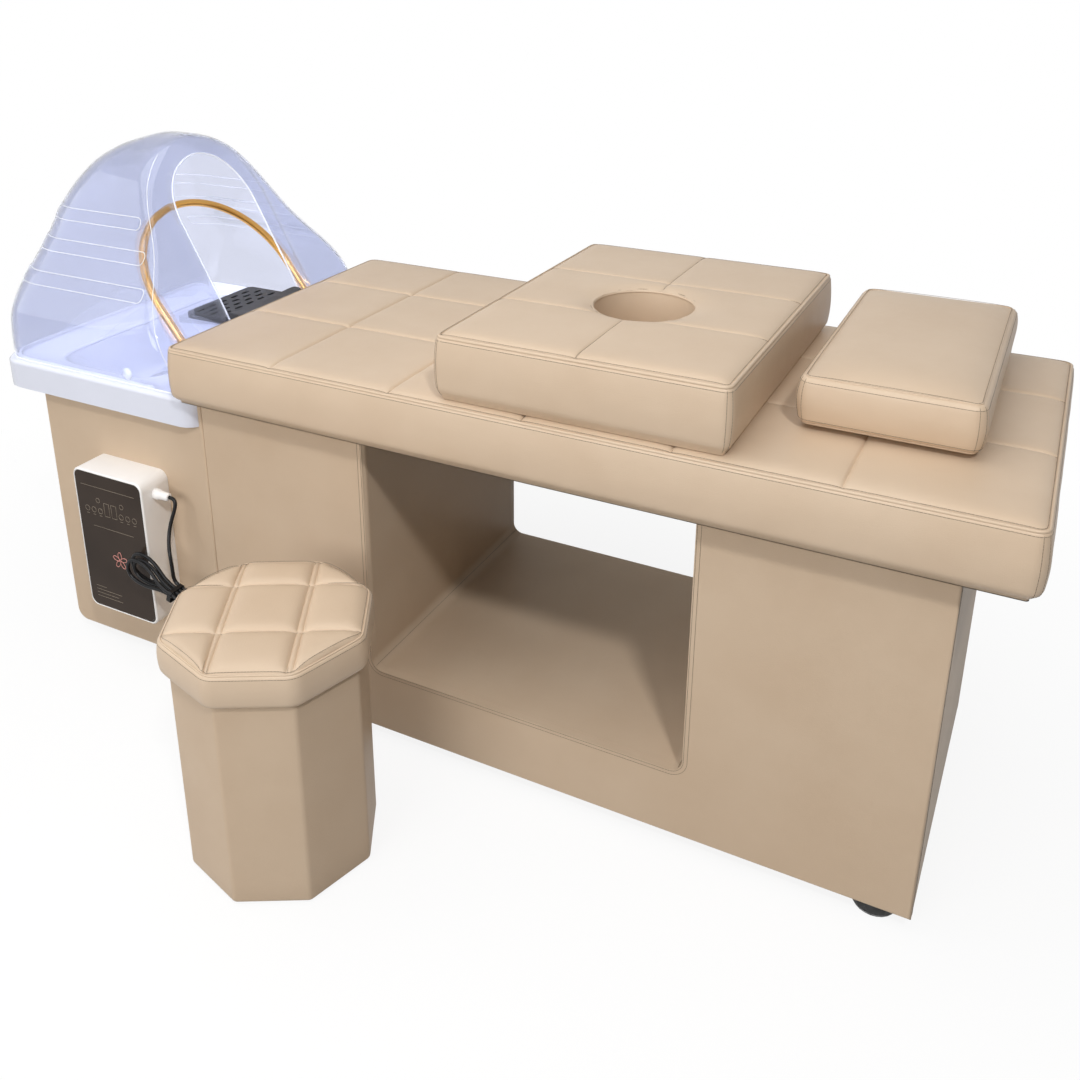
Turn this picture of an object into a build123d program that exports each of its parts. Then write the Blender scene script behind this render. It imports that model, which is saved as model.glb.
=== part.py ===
from build123d import *
import os
from math import atan2, cos, degrees, hypot, pi, radians, sin, sqrt, tan

# Hair washing bed with a basin cabinet, a clear hood, a water heater and a matching stool.
# Millimetres, +Z up from the floor, +X from the basin to the foot end. The heater and the stool are
# on the -Y side. Places are counted from the head end of the mattress, its centre line and the floor.
# At the end everything is moved so that the origin is the floor point under the middle of the set.

# Working values shared by all pieces
clear = 0.3            # gap between pieces that rest on or stand beside each other
overrun = 2.0          # how far a cutting shape runs past the face it cuts
corner_steps = 4       # flat steps round a soft or moulded corner
round_steps = 3        # flat steps round a moulded edge
octagon_steps = 2      # flat steps round each corner of the stool
tube_sides = 8         # flat sides of a bent tube
cord_sides = 6
post_sides = 24         # flat sides of short round pieces

# Mattress
deck_height = 670.0    # top of the base, where the mattress lies
pad_length = 1535.0    # between the piped edges
pad_width = 700.0
pad_height = 112.0     # from the deck to the piping
pad_crown = 8.0
pad_bulge = 5.0        # how far the sides swell past the piping
pad_edge = 12.0        # how far the lower edge is drawn in
pad_corner = 24.0
quilt_columns = 6
quilt_rows = 3
board_thick = 24.0
board_margin = 34.0    # board edge to the piped edge of the pad

# Base
base_setback = 27.0    # mattress head end to the base
base_length = 1410.0
panel_thick = 18.0
panel_round = 5.0
floor_gap = 30.0       # floor to the underside of the boards
tunnel_setback = 382.0  # base head end to the knee tunnel
tunnel_length = 636.0
tunnel_floor = 166.0
tunnel_corner = 24.0
batten_side = 32.0
foot_radius = 40.0
foot_rim_radius = 36.0
foot_rim_height = 7.0
foot_inset_x = 62.0
foot_inset_y = 49.0
foot_stem = 6.0        # stem radius
seam_gap = 1.0         # cabinet panels to the base

# Basin cabinet
cabinet_length = 447.0
cabinet_corner = 28.0
cabinet_foot_inset_x = 76.0
cabinet_foot_inset_y = 103.0
cabinet_foot_radius = 26.0

# Basin
rim_drop = 2.0         # rim top below the deck of the base
rim_height = 62.0
rim_overhang_head = 107.0
rim_overhang_side = 19.0
rim_corner = 40.0
rim_corner_head = 55.0
rim_round = 10.0
basin_wall = 6.0
bowl_margin_head = 115.0
bowl_length = 290.0
bowl_width = 540.0
bowl_side = 33.0            # bowl's mouth to the outside of the base
bowl_depth = 103.0
bowl_corner = 66.0
bowl_floor_corner = 34.0
bowl_draft_head = 60.0    # mouth to floor, seen from above
bowl_draft_foot = 44.0
bowl_draft_side = 52.0
bowl_round = 9.0
bowl_lip = 12.0            # lip under the rim plate, past the bowl's mouth
bowl_lip_thick = 5.0
seat_lip_height = 7.0
seat_lip_thick = 5.0
seat_lip_gap = 1.0        # lip to the inside of the hood
seat_lip_length = 440.0
drain_setback = 224.0     # rim head end to the drain centre
drain_offset = 60.0       # drain centre from the centre line, to the heater side
drain_radius = 34.0
drain_flange_radius = 42.0
drain_flange_thick = 3.0
drain_bore_radius = 26.0
drain_wall = 3.0
drain_tail = 34.0
strainer_depth = 14.0
strainer_wall = 1.5
strainer_hole_radius = 2.6
strainer_ring_radius = 14.0
strainer_holes = 8
strainer_lift = 60.0
strainer_rim = 29.0        # radius of its flat rim
strainer_seat = 2.0

# Waste and water
waste_radius = 16.0
waste_wall = 2.5
waste_bend = 34.0
waste_height = 330.0      # outlet centre above the floor
waste_reach = 42.0        # free pipe behind the rear panel
trap_drop = 80.0
trap_nut_radius = 34.0
trap_nut_height = 22.0
trap_flat = 12.0          # straight at the bottom of the trap
trap_end = 20.0           # straight at the end of the trap
trap_cup = 30.0
trap_sides = 16
sleeve_reach = 18.0
waste_collar_radius = 26.0   # collar against the rear panel
waste_collar_thick = 5.0
pipe_gap = 1.0            # waste pipe to its hole in the panel
inlet_height = 180.0
inlet_reach = 22.0
inlet_radius = 10.4
inlet_bore = 6.5
inlet_offset = 90.0       # from the cabinet centre towards the head end
inlet_flange_radius = 18.0
inlet_flange_thick = 4.0
hose_radius = 7.0
hose_straight = 60.0
hose_turn = 90.0
hose_step = 45.0
inlet_tail = 14.0         # inlet behind the panel
shank_radius = 10.0       # water stubs of the heater
shank_head = 6.0
shank_tail = 14.0
shank_height = 110.0      # heater bottom to the stubs
shank_pitch = 90.0

# Spray arch
arch_setback = 72.0       # mattress head end to the swivel axis
arch_rise = 32.0          # swivel axis above the rim top
arch_side = 64.0          # bowl's mouth to the centre line of the legs
arch_leg = 124.0          # straight part of the legs
arch_tilt = 37.4          # degrees back from upright
arch_radius = 8.25
arch_sides = 12
arch_elbow = 14.0
pin_radius = 7.0
pin_clear = 0.05
pin_length = 24.0
socket_radius = 13.0
socket_gap = 3.0
socket_flange_radius = 20.0
socket_flange_thick = 5.0
socket_shank_radius = 10.0
socket_shank_length = 44.0
socket_nut_radius = 17.0
socket_nut_height = 9.0
socket_crown = 15.0       # swivel axis to the top of the post

# Headrest
rest_setback = 14.0
rest_length = 165.0
rest_width = 214.0
rest_thick = 12.0
rest_height = 89.0        # plate top above the rim top
neck_rise = 18.0
neck_length = 58.0
neck_dip = 15.0
slot_rows = 4
slot_columns = 5
slot_length = 22.0
slot_width = 8.0
slot_pitch_x = 20.0
slot_pitch_y = 37.0
slot_setback = 22.0
slot_end_share = 0.3
cradle_wall = 6.0
cradle_inset = 8.0
cradle_lip = 16.0
neck_edge = 8.0
rest_corner = 14.0
peg_offset = 60.0
peg_setback = 34.0
peg_radius = 5.0
peg_length = 14.0
peg_block = 12.0

# Hood
hood_head_gap = 6.0       # rim head end to the hood
hood_foot_gap = 14.0      # hood to the mattress head end
hood_height = 452.0
hood_wall = 3.5
hood_mouth_half = 117.0
hood_mouth_height = 412.0
hood_corner_foot = 26.0
hood_rib_height = 2.4
hood_rib_width = 24.0
hood_rib_first = 170.0
hood_rib_pitch = 61.0
hood_rib_count = 3
hood_rib_round = 10.0
hood_rib_margin = 26.0
hood_rib_margin_head = 26.0
hood_mouth_depth = 258.0
hood_corner_most_share = 0.92
hood_lift = 350.0

# Heights, head and foot ends, half widths and head corner radii of the hood, as shares of its
# height, length, half width and half width
hood_section_shares = (
    (0.000, 0.000, 1.000, 0.969, 0.200),
    (0.110, 0.001, 0.976, 0.993, 0.240),
    (0.204, 0.004, 0.945, 1.000, 0.270),
    (0.330, 0.015, 0.888, 0.938, 0.310),
    (0.469, 0.033, 0.820, 0.795, 0.330),
    (0.646, 0.071, 0.734, 0.640, 0.330),
    (0.780, 0.131, 0.671, 0.548, 0.310),
    (0.900, 0.233, 0.626, 0.404, 0.240),
    (0.965, 0.329, 0.596, 0.250, 0.150),
    (1.000, 0.437, 0.566, 0.062, 0.040),
)

# Water heater
heater_setback = 83.0     # mattress head end to the heater's near side
heater_width = 194.0
heater_height = 333.0
heater_bottom = 153.0
heater_depth = 74.0
heater_corner = 21.0
heater_edge = 3.0
heater_wall = 3.0
glass_border = 5.0
glass_thick = 4.0
glass_sink = 0.6
wall_plate_thick = 2.0
wall_plate_margin = 14.0
tank_radius = 24.0
tank_length = 220.0
circuit_thick = 1.6
circuit_width = 120.0
circuit_height = 90.0
relay_side = 18.0
gland_drop = 36.0         # heater top to the gland axis
gland_offset = 37.0       # cabinet front to the gland axis
gland_base_radius = 11.5
gland_base_length = 12.0
gland_tip_radius = 8.5
gland_length = 37.0
gland_sides = 12
outlet_radius = 10.4
outlet_length = 26.0
outlet_hex = 13.0
outlet_hex_length = 8.0
outlet_bore = 6.5
outlet_offset = 30.0      # towards the head end from the middle of the heater
outlet_stem = 10.0
gland_stem = 10.0

# Mains cord
cord_dia = 7.6
hank_turns = 3
hank_pitch = 9.6
hank_half = 103.0         # waist to the middle of a lobe
hank_lobe = 27.0          # lobe radius
hank_waist = 7.0          # strand from the middle of the waist
hank_slope = 16.0         # degrees down towards the foot end
hank_middle = (8.0, -391.0, 278.0)
hank_bend = 24.0
hank_lead = 14.0
hank_leave = 44.0
lobe_half_shares = (1.0, 0.90, 0.96)
lobe_radius_shares = (1.0, 0.84, 0.93)
tie_wall = 1.2
tie_width = 9.0
tie_gap = 0.6
plug_length = 38.0
plug_radius = 15.0
plug_sides = 16
plug_neck_radius = 7.0
plug_neck_length = 16.0
plug_pin_radius = 2.4
plug_pin_length = 19.0
plug_pin_pitch = 19.0

# Route of the cord from the gland down to the hank, counted from the gland's mouth
drop_route = (
    (0.0, 0.0, 0.0),
    (10.0, 0.0, 0.0),
    (17.5, -2.0, -7.0),
    (17.5, -6.0, -20.0),
    (13.5, -13.0, -40.0),
    (12.0, -21.0, -60.0),
    (17.0, -31.0, -77.0),
    (26.0, -41.5, -91.0),
    (34.0, -48.5, -102.0),
)

# Route of the cord from the hank down to the plug, counted from the hank's end
tail_route = (
    (0.0, 0.0, 0.0),
    (0.0, 0.0, -20.0),
    (3.0, -3.0, -42.0),
    (3.0, -3.0, -64.0),
    (0.0, -1.0, -86.0),
    (0.0, -1.0, -104.0),
)

# Loose cushions
cushion_setback = 595.0
cushion_length = 502.0
cushion_width = 652.0
cushion_shift = -15.0
cushion_height = 111.0
cushion_crown = 8.0
cushion_bulge = 4.0
cushion_edge = 9.0
cushion_corner = 22.0
cushion_columns = 2
cushion_rows = 3
face_hole_radius = 90.0
face_hole_shift = -24.0
face_hole_lip = 9.0
cushion_lift = 300.0
pillow_setback = 1160.0
pillow_length = 268.0
pillow_width = 520.0
pillow_shift = 70.0
pillow_height = 76.0
pillow_crown = 13.0
pillow_belly = 13.0
pillow_bulge = 5.0
pillow_corner = 28.0

# Stool
stool_x = 412.0
stool_y = -591.0
stool_turn = 6.6          # degrees
stool_body_radius = 167.0
stool_body_corner = 14.0
stool_wall = 15.0
stool_body_height = 397.0
stool_glide = 3.0
stool_glide_radius = 14.0
stool_board = 15.0
seat_radius = 178.0
seat_height = 66.0        # lower edge to the piping
seat_crown = 9.0
seat_bulge = 4.0
seat_edge = 8.0
seat_corner = 30.0
seat_overlap = 3.0        # lower edge of the seat below the top of the body
stool_slide = 400.0

# Shares that shape every soft side: height along the side, then how far it is drawn in
side_height_shares = (0.0, 0.13, 0.50, 0.88, 1.0)
side_inset_shares = (1.0, 0.30, 0.0, 0.55, 1.0)
# Shares that shape every crowned panel: height over the piping, then its size
crown_height_shares = (-0.25, 0.30, 0.75, 1.0)
crown_size_shares = (0.992, 0.955, 0.83, 0.50)
# How much of the shorter run a bend may use
run_share = 0.45
# Depths of the bowl and how much of its draft is used there
bowl_depth_shares = (0.0, 0.50, 0.86, 1.0)
bowl_draft_shares = (0.0, 0.48, 0.78, 1.0)

# Sizes that follow from the ones above
rim_top = deck_height - rim_drop
rim_bottom = rim_top - rim_height
base_head = base_setback
base_foot = base_setback + base_length
base_half = bowl_width / 2 + bowl_side
tunnel_head = base_head + tunnel_setback
tunnel_foot = tunnel_head + tunnel_length
cabinet_head = base_setback - cabinet_length
rim_head = cabinet_head - rim_overhang_head
rim_foot = base_head - clear
rim_half = base_half + rim_overhang_side
hood_width = 2 * rim_half
arch_half = bowl_width / 2 - arch_side
cabinet_top = rim_top - basin_wall - clear
pad_top = deck_height + pad_height + pad_crown
bowl_head = rim_head + bowl_margin_head
bowl_foot = bowl_head + bowl_length
drain_x = rim_head + drain_setback
drain_y = -drain_offset
bowl_floor = rim_top - bowl_depth
hood_head = rim_head + hood_head_gap
hood_foot = -hood_foot_gap
hood_base = rim_top + clear
heater_foot = -heater_setback
heater_head = heater_foot - heater_width
heater_front = -base_half - heater_depth
gland_z = heater_bottom + heater_height - gland_drop
gland_y = -base_half - gland_offset
gland_mouth = (heater_foot + gland_length, gland_y, gland_z)
arch_z = rim_top + arch_rise
rest_foot = -rest_setback
rest_head = rest_foot - rest_length
rest_top = rim_top + rest_height
cord_radius = cord_dia / 2
inner_half = base_half - panel_thick - clear
socket_y = arch_half + arch_elbow + socket_gap + socket_radius
heater_middle = (heater_head + heater_foot) / 2
outlet_x = heater_middle - outlet_offset
feed_x = heater_middle - shank_pitch / 2
spray_x = heater_middle + shank_pitch / 2
shank_z = heater_bottom + shank_height
inlet_x = heater_middle - inlet_offset


def block(x0, x1, y0, y1, z0, z1):
    return Pos((x0 + x1) / 2, (y0 + y1) / 2, (z0 + z1) / 2) * Box(x1 - x0, y1 - y0, z1 - z0)


def rod(start, direction, radius, length):
    """Cylinder from a point along a direction."""
    return extrude(Plane(origin=start, z_dir=direction) * Circle(radius), length)


def corner_points(x, y, radius, start, z):
    points = []
    for step in range(corner_steps + 1):
        angle = radians(start + 90 * step / corner_steps)
        points.append((x + radius * cos(angle), y + radius * sin(angle), z))
    return points


def plan_ring(x0, x1, y0, y1, head, foot, z):
    """Plan outline with its own corner radius at the head end and at the foot end."""
    return (corner_points(x1 - foot, y0 + foot, foot, -90, z) + corner_points(x1 - foot, y1 - foot, foot, 0, z)
            + corner_points(x0 + head, y1 - head, head, 90, z)
            + corner_points(x0 + head, y0 + head, head, 180, z))


def flat(points):
    return Face(Wire.make_polygon([Vector(*point) for point in points]))


def stacked(rings):
    """Closed solid with flat facets between outlines of the same number of points."""
    faces = [flat(rings[0]), flat(rings[-1])]
    for low, high in zip(rings, rings[1:]):
        for i in range(len(low)):
            j = (i + 1) % len(low)
            faces.append(flat([low[i], low[j], high[j], high[i]]))
    return Solid(Shell(faces))


def turned(start, direction, stations, sides):
    """Turned shape with flat sides through (distance along the axis, radius) stations."""
    rings = []
    for distance, radius in stations:
        plane = Plane(origin=start, z_dir=direction).offset(distance)
        ring = []
        for number in range(sides):
            angle = 2 * pi * number / sides
            ring.append(tuple(plane.from_local_coords((radius * cos(angle), radius * sin(angle), 0))))
        rings.append(ring)
    return stacked(rings)


def post(start, direction, radius, length, sides=post_sides):
    return turned(start, direction, ((0, radius), (length, radius)), sides)


def soft_body(outline, z0, height, bulge, edge):
    """Side of a cushion: drawn in at the seams, swollen between them. outline(inset, z) is a ring."""
    rings = []
    for rise, inset in zip(side_height_shares, side_inset_shares):
        draw = edge + bulge if rise < 0.5 else bulge
        rings.append(outline(draw * inset - bulge, z0 + rise * height))
    return stacked(rings)


def crowned_panel(corners, z, crown):
    """One quilted panel between its sewn edges, rising to a crown."""
    count = len(corners)
    cx = sum(p[0] for p in corners) / count
    cy = sum(p[1] for p in corners) / count
    rings = []
    for rise, size in zip(crown_height_shares, crown_size_shares):
        rings.append([(cx + (x - cx) * size, cy + (y - cy) * size, z + rise * crown) for x, y in corners])
    return stacked(rings)


def quilted_top(x0, x1, y0, y1, columns, rows, z, crown):
    step_x = (x1 - x0) / columns
    step_y = (y1 - y0) / rows
    panels = []
    for column in range(columns):
        for row in range(rows):
            a, b = x0 + column * step_x, y0 + row * step_y
            corners = [(a, b), (a + step_x, b), (a + step_x, b + step_y), (a, b + step_y)]
            panels.append(crowned_panel(corners, z, crown))
    return panels


def box_cushion(x0, x1, y0, y1, corner, z0, height, crown, bulge, edge, columns, rows):
    def outline(inset, z):
        turn = corner - inset
        return plan_ring(x0 + inset, x1 - inset, y0 + inset, y1 - inset, turn, turn, z)

    body = soft_body(outline, z0, height, bulge, edge)
    return body + quilted_top(x0, x1, y0, y1, columns, rows, z0 + height, crown)


# Mattress

def mattress_pad():
    half = pad_width / 2
    pad = box_cushion(0, pad_length, -half, half, pad_corner, deck_height, pad_height, pad_crown,
                      pad_bulge, pad_edge, quilt_columns, quilt_rows)
    return pad - board_space(clear)


def board_space(gap):
    inset = board_margin - gap
    half = pad_width / 2 - inset
    return block(inset, pad_length - inset, -half, half, deck_height - gap, deck_height + board_thick + gap)


def mattress_board():
    inset = board_margin
    half = pad_width / 2 - inset
    return block(inset, pad_length - inset, -half, half, deck_height, deck_height + board_thick)


# Base

def lower_rounded(x0, x1, y0, y1, z0, z1, radius):
    """Block with its two lower edges along Y rounded."""
    shape = block(x0, x1, y0, y1, z0, z1)
    return fillet(shape.edges().filter_by(Axis.Y).group_by(Axis.Z)[0], radius)


def tunnel_space(half):
    top = deck_height + overrun
    return lower_rounded(tunnel_head, tunnel_foot, -half, half, tunnel_floor, top, tunnel_corner)


def front_panel():
    y1 = panel_thick - base_half
    panel = block(base_head, base_foot, -base_half, y1, floor_gap, deck_height)
    panel = fillet(panel.faces().sort_by(Axis.Y)[0].edges(), panel_round)
    return panel - tunnel_space(base_half + overrun)


def rear_panel():
    return mirror(front_panel(), Plane.XZ)


def tunnel_lining():
    t = panel_thick
    outer = lower_rounded(tunnel_head - t, tunnel_foot + t, -inner_half, inner_half, tunnel_floor - t,
                          deck_height, tunnel_corner + t)
    return outer - tunnel_space(base_half)


def foot_end_panel():
    panel = block(base_foot - panel_thick, base_foot, -inner_half, inner_half, floor_gap, deck_height)
    return fillet(panel.faces().sort_by(Axis.X)[-1].edges(), panel_round)


def base_head_board():
    return block(base_head, base_head + panel_thick, -inner_half, inner_half, floor_gap, deck_height)


def base_bottom():
    x0 = base_head + panel_thick + clear
    x1 = base_foot - panel_thick - clear
    board = block(x0, x1, -inner_half, inner_half, floor_gap, floor_gap + panel_thick)
    for x, y in base_foot_places():
        board -= post((x, y, floor_gap - overrun), (0, 0, 1), foot_stem + clear, panel_thick + 2 * overrun)
    return board


def corner_battens():
    z0 = floor_gap + panel_thick + clear
    y = inner_half - clear
    xs = (base_head + panel_thick + clear, tunnel_head - panel_thick - clear - batten_side,
          tunnel_foot + panel_thick + clear, base_foot - panel_thick - clear - batten_side)
    pieces = []
    for x in xs:
        for a, b in ((-y, batten_side - y), (y - batten_side, y)):
            pieces.append(block(x, x + batten_side, a, b, z0, deck_height - clear))
    return Compound(children=pieces)


def base_foot_places():
    y = base_half - foot_inset_y
    return [(x, s * y) for x in (base_head + foot_inset_x, base_foot - foot_inset_x) for s in (-1, 1)]


def cabinet_foot_places():
    y = base_half - cabinet_foot_inset_y
    return [(cabinet_head + cabinet_foot_inset_x, s * y) for s in (-1, 1)]


def one_foot(x, y, radius):
    """Black foot with a stem up into the board above it."""
    z = foot_rim_height
    foot = post((x, y, z), (0, 0, 1), radius, floor_gap - z)
    return foot + post((x, y, floor_gap - clear), (0, 0, 1), foot_stem, panel_thick, tube_sides)


def feet():
    pieces = [one_foot(x, y, foot_radius) for x, y in base_foot_places()]
    return Compound(children=pieces + [one_foot(x, y, cabinet_foot_radius) for x, y in cabinet_foot_places()])


def foot_rims():
    pieces = []
    step = foot_radius - foot_rim_radius
    for places, radius in ((base_foot_places(), foot_radius), (cabinet_foot_places(), cabinet_foot_radius)):
        for x, y in places:
            pieces.append(post((x, y, 0), (0, 0, 1), radius - step, foot_rim_height))
    return Compound(children=pieces)


# Cabinet

def cabinet_side(sign):
    """Long panel of the cabinet with its rounded lower corner at the head end."""
    y0, y1 = sorted((sign * base_half, sign * (base_half - panel_thick)))
    panel = block(cabinet_head, base_head - seam_gap, y0, y1, floor_gap, cabinet_top)
    low = panel.edges().filter_by(Axis.Y).group_by(Axis.Z)[0].sort_by(Axis.X)[0]
    panel = fillet(low, cabinet_corner)
    outer = panel.faces().sort_by(Axis.Y)[0 if sign < 0 else -1]
    return fillet(outer.edges(), panel_round)


def cabinet_front():
    panel = cabinet_side(-1)
    for x in (feed_x, spray_x):
        panel -= rod((x, -base_half - overrun, shank_z), (0, 1, 0), shank_radius + clear,
                     panel_thick + 2 * overrun)
    return panel


def cabinet_rear():
    panel = cabinet_side(1)
    start = base_half - panel_thick - overrun
    length = panel_thick + 2 * overrun
    panel -= rod((drain_x, start, waste_height), (0, 1, 0), waste_radius + pipe_gap, length)
    panel -= rod((inlet_x, start, inlet_height), (0, 1, 0), inlet_radius + clear, length)
    return panel


def cabinet_wrap():
    """Head wall and bottom of the cabinet in one bent board."""
    t = panel_thick
    x1 = base_head - seam_gap
    outer = block(cabinet_head, x1, -inner_half, inner_half, floor_gap, rim_bottom)
    outer = fillet(outer.edges().filter_by(Axis.Y).group_by(Axis.Z)[0].sort_by(Axis.X)[0], cabinet_corner)
    hollow = block(cabinet_head + t, x1 + overrun, -base_half, base_half, floor_gap + t,
                   rim_bottom + overrun)
    edge = hollow.edges().filter_by(Axis.Y).group_by(Axis.Z)[0].sort_by(Axis.X)[0]
    wrap = outer - fillet(edge, cabinet_corner - t)
    for x, y in cabinet_foot_places():
        wrap -= post((x, y, floor_gap - overrun), (0, 0, 1), foot_stem + clear, t + 2 * overrun)
    return wrap


# Basin

def bowl(grow):
    """Solid that fills the bowl, grown on all sides, with its mouth rounded outwards."""
    half = bowl_width / 2
    rings = []
    for step in range(round_steps):
        turn = radians(90 * step / round_steps)
        flare = grow + bowl_round * (1 - sin(turn))
        corner = bowl_corner + flare
        rings.append(plan_ring(bowl_head - flare, bowl_foot + flare, -half - flare, half + flare, corner,
                               corner, rim_top - bowl_round * (1 - cos(turn))))
    top = bowl_round + grow
    for depth, draft in zip(bowl_depth_shares, bowl_draft_shares):
        x0 = bowl_head + draft * bowl_draft_head - grow
        x1 = bowl_foot - draft * bowl_draft_foot + grow
        y1 = half - draft * bowl_draft_side + grow
        corner = bowl_corner + draft * (bowl_floor_corner - bowl_corner) + grow
        z = rim_top - bowl_round - depth * (bowl_depth + grow - bowl_round)
        rings.append(plan_ring(x0, x1, -y1, y1, corner, corner, z))
    return stacked(rings)


def rim_ring(inset, z):
    return plan_ring(rim_head + inset, rim_foot - inset, inset - rim_half, rim_half - inset,
                     rim_corner_head - inset, rim_corner - inset, z)


def rim_block(inset, z0, z1, edge):
    """Block in the plan of the rim, with its upper edge rounded."""
    rings = [rim_ring(inset, z0)]
    for step in range(round_steps + 1):
        turn = radians(90 * step / round_steps)
        draw = inset + edge * (1 - cos(turn))
        rings.append(rim_ring(draw, z1 - edge * (1 - sin(turn))))
    return stacked(rings)


def basin():
    """Rim plate with its skirt and the mouth of the bowl."""
    w = basin_wall
    hollow = rim_block(w, rim_bottom - overrun, rim_top - w, rim_round - w)
    side = base_half + clear
    hollow += block(rim_foot - rim_corner, rim_foot + overrun, -side, side, rim_bottom - overrun, rim_top - w)
    shape = rim_block(0, rim_bottom, rim_top, rim_round) - hollow + seat_lip()
    shape -= bowl(0)
    for y in (-socket_y, socket_y):
        shape -= rod((-arch_setback, y, rim_bottom), (0, 0, 1), socket_shank_radius + clear, rim_height + overrun)
    return shape


def basin_bowl():
    """Bowl with a flat lip that is glued under the rim plate."""
    z = rim_top - basin_wall - clear
    reach = bowl_width
    tub = bowl(basin_wall) - block(rim_head - reach, rim_foot + reach, -reach, reach, z, z + bowl_depth)
    half = bowl_width / 2 + bowl_lip
    corner = bowl_corner + bowl_lip
    lip = plan_ring(bowl_head - bowl_lip, bowl_foot + bowl_lip, -half, half, corner, corner, z - bowl_lip_thick)
    tub += Solid.extrude(flat(lip), Vector(0, 0, bowl_lip_thick))
    tub -= bowl(0)
    top = bowl_floor - drain_flange_thick - clear
    tub -= rod((drain_x, drain_y, top), (0, 0, 1), drain_flange_radius + clear, bowl_depth)
    return tub - rod((drain_x, drain_y, top - bowl_depth), (0, 0, 1), drain_bore_radius + clear,
                     bowl_depth + overrun)


def seat_lip():
    """Low lip that stands just inside the foot of the hood, left out at the neck."""
    inset = hood_wall + seat_lip_gap
    low = rim_top - overrun
    outer = flat(hood_ring(hood_section_shares[0], inset, low))
    inner = flat(hood_ring(hood_section_shares[0], inset + seat_lip_thick, low))
    up = Vector(0, 0, seat_lip_height + overrun)
    lip = Solid.extrude(outer, up) - Solid.extrude(inner, up)
    half = rim_half
    return lip & block(rim_head, rim_head + seat_lip_length, -half, half, low, low + deck_height)


# Waste and water

def drain_flange():
    z = bowl_floor - drain_flange_thick
    at = (drain_x, drain_y)
    flange = post((*at, z), (0, 0, 1), drain_flange_radius, drain_flange_thick)
    flange += post((*at, z - drain_tail), (0, 0, 1), drain_bore_radius, drain_tail)
    flange -= post((*at, z - drain_tail - overrun), (0, 0, 1), drain_bore_radius - drain_wall, bowl_depth)
    return flange - post((*at, bowl_floor - strainer_seat), (0, 0, 1), strainer_rim + clear, bowl_depth)


def drain_strainer():
    at = (drain_x, drain_y)
    radius = drain_bore_radius - drain_wall - clear
    z = bowl_floor - strainer_seat
    cup = post((*at, z), (0, 0, 1), strainer_rim, strainer_wall)
    cup += post((*at, z - strainer_depth), (0, 0, 1), radius, strainer_depth)
    cup -= post((*at, z - strainer_depth + strainer_wall), (0, 0, 1), radius - strainer_wall, bowl_depth)
    places = [at]
    for turn in range(strainer_holes):
        angle = 2 * pi * turn / strainer_holes
        places.append((drain_x + strainer_ring_radius * cos(angle), drain_y + strainer_ring_radius * sin(angle)))
    hole = RegularPolygon(strainer_hole_radius, 6)
    for x, y in places:
        cup -= Pos(x, y, z - strainer_depth - overrun) * extrude(hole, strainer_wall + 2 * overrun)
    return cup


def drain_nut():
    z = bowl_floor - basin_wall - clear
    nut = turned((drain_x, drain_y, z), (0, 0, -1), ((0, trap_nut_radius),
                                                     (trap_nut_height - overrun, trap_nut_radius),
                                                     (trap_nut_height, trap_nut_radius - overrun)), trap_sides)
    return nut - post((drain_x, drain_y, z + overrun), (0, 0, -1), drain_bore_radius + clear, bowl_depth)


def waste_line():
    z0 = bowl_floor - drain_flange_thick - drain_tail - clear
    low = waste_height - trap_drop
    y = drain_y + 2 * waste_bend + trap_flat
    points = [(drain_x, drain_y, z0), (drain_x, drain_y, low), (drain_x, y, low),
              (drain_x, y, waste_height), (drain_x, base_half + waste_reach, waste_height)]
    return points


def swept(path, start, direction, radius, sides=tube_sides):
    return sweep(Plane(origin=start, z_dir=direction) * RegularPolygon(radius, sides), path=path)


def waste_trap():
    points = waste_line()
    x, y, z = points[3]
    points[4] = (x, y + waste_bend + trap_end, z)
    path = FilletPolyline(*points, radius=waste_bend)
    down = (0, 0, -1)
    cup = turned(points[0], down, ((0, drain_bore_radius), (trap_cup - overrun, drain_bore_radius),
                                   (trap_cup, drain_bore_radius - overrun)), trap_sides)
    return cup + swept(path, points[0], down, waste_radius)


def waste_pipe():
    x, y, z = waste_line()[3]
    start = y + waste_bend + trap_end + clear
    end = base_half + waste_reach
    pipe = rod((x, start, z), (0, 1, 0), waste_radius, end - start)
    sleeve = waste_radius + clear + waste_wall
    pipe += post((x, start - sleeve_reach, z), (0, 1, 0), sleeve, 2 * sleeve_reach)
    pipe += post((x, base_half + clear, z), (0, 1, 0), waste_collar_radius, waste_collar_thick)
    pipe -= post((x, start - sleeve_reach - overrun, z), (0, 1, 0), waste_radius + clear,
                sleeve_reach + overrun)
    return pipe - rod((x, start - overrun, z), (0, 1, 0), waste_radius - waste_wall, end)


def water_inlet():
    at = (inlet_x, base_half, inlet_height)
    nipple = rod(at, (0, 1, 0), inlet_radius, inlet_reach)
    nipple += post(at, (0, 1, 0), inlet_flange_radius, inlet_flange_thick)
    nipple += post(at, (0, -1, 0), inlet_radius, panel_thick + inlet_tail)
    back = (inlet_x, base_half + inlet_reach + overrun, inlet_height)
    return nipple - rod(back, (0, -1, 0), inlet_bore, base_half)


def hose(points):
    radii = bend_radii(points)
    path = FilletPolyline(*points, radius=radii)
    start = Vector(*points[0])
    return swept(path, start, Vector(*points[1]) - start, hose_radius)


def feed_hose():
    y0 = base_half - panel_thick - inlet_tail - clear
    y1 = -base_half + panel_thick + shank_tail + clear
    straight = hose_straight
    return hose([(inlet_x, y0, inlet_height), (inlet_x, y0 - straight, inlet_height),
                 (feed_x, y1 + straight, shank_z), (feed_x, y1, shank_z)])


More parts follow.
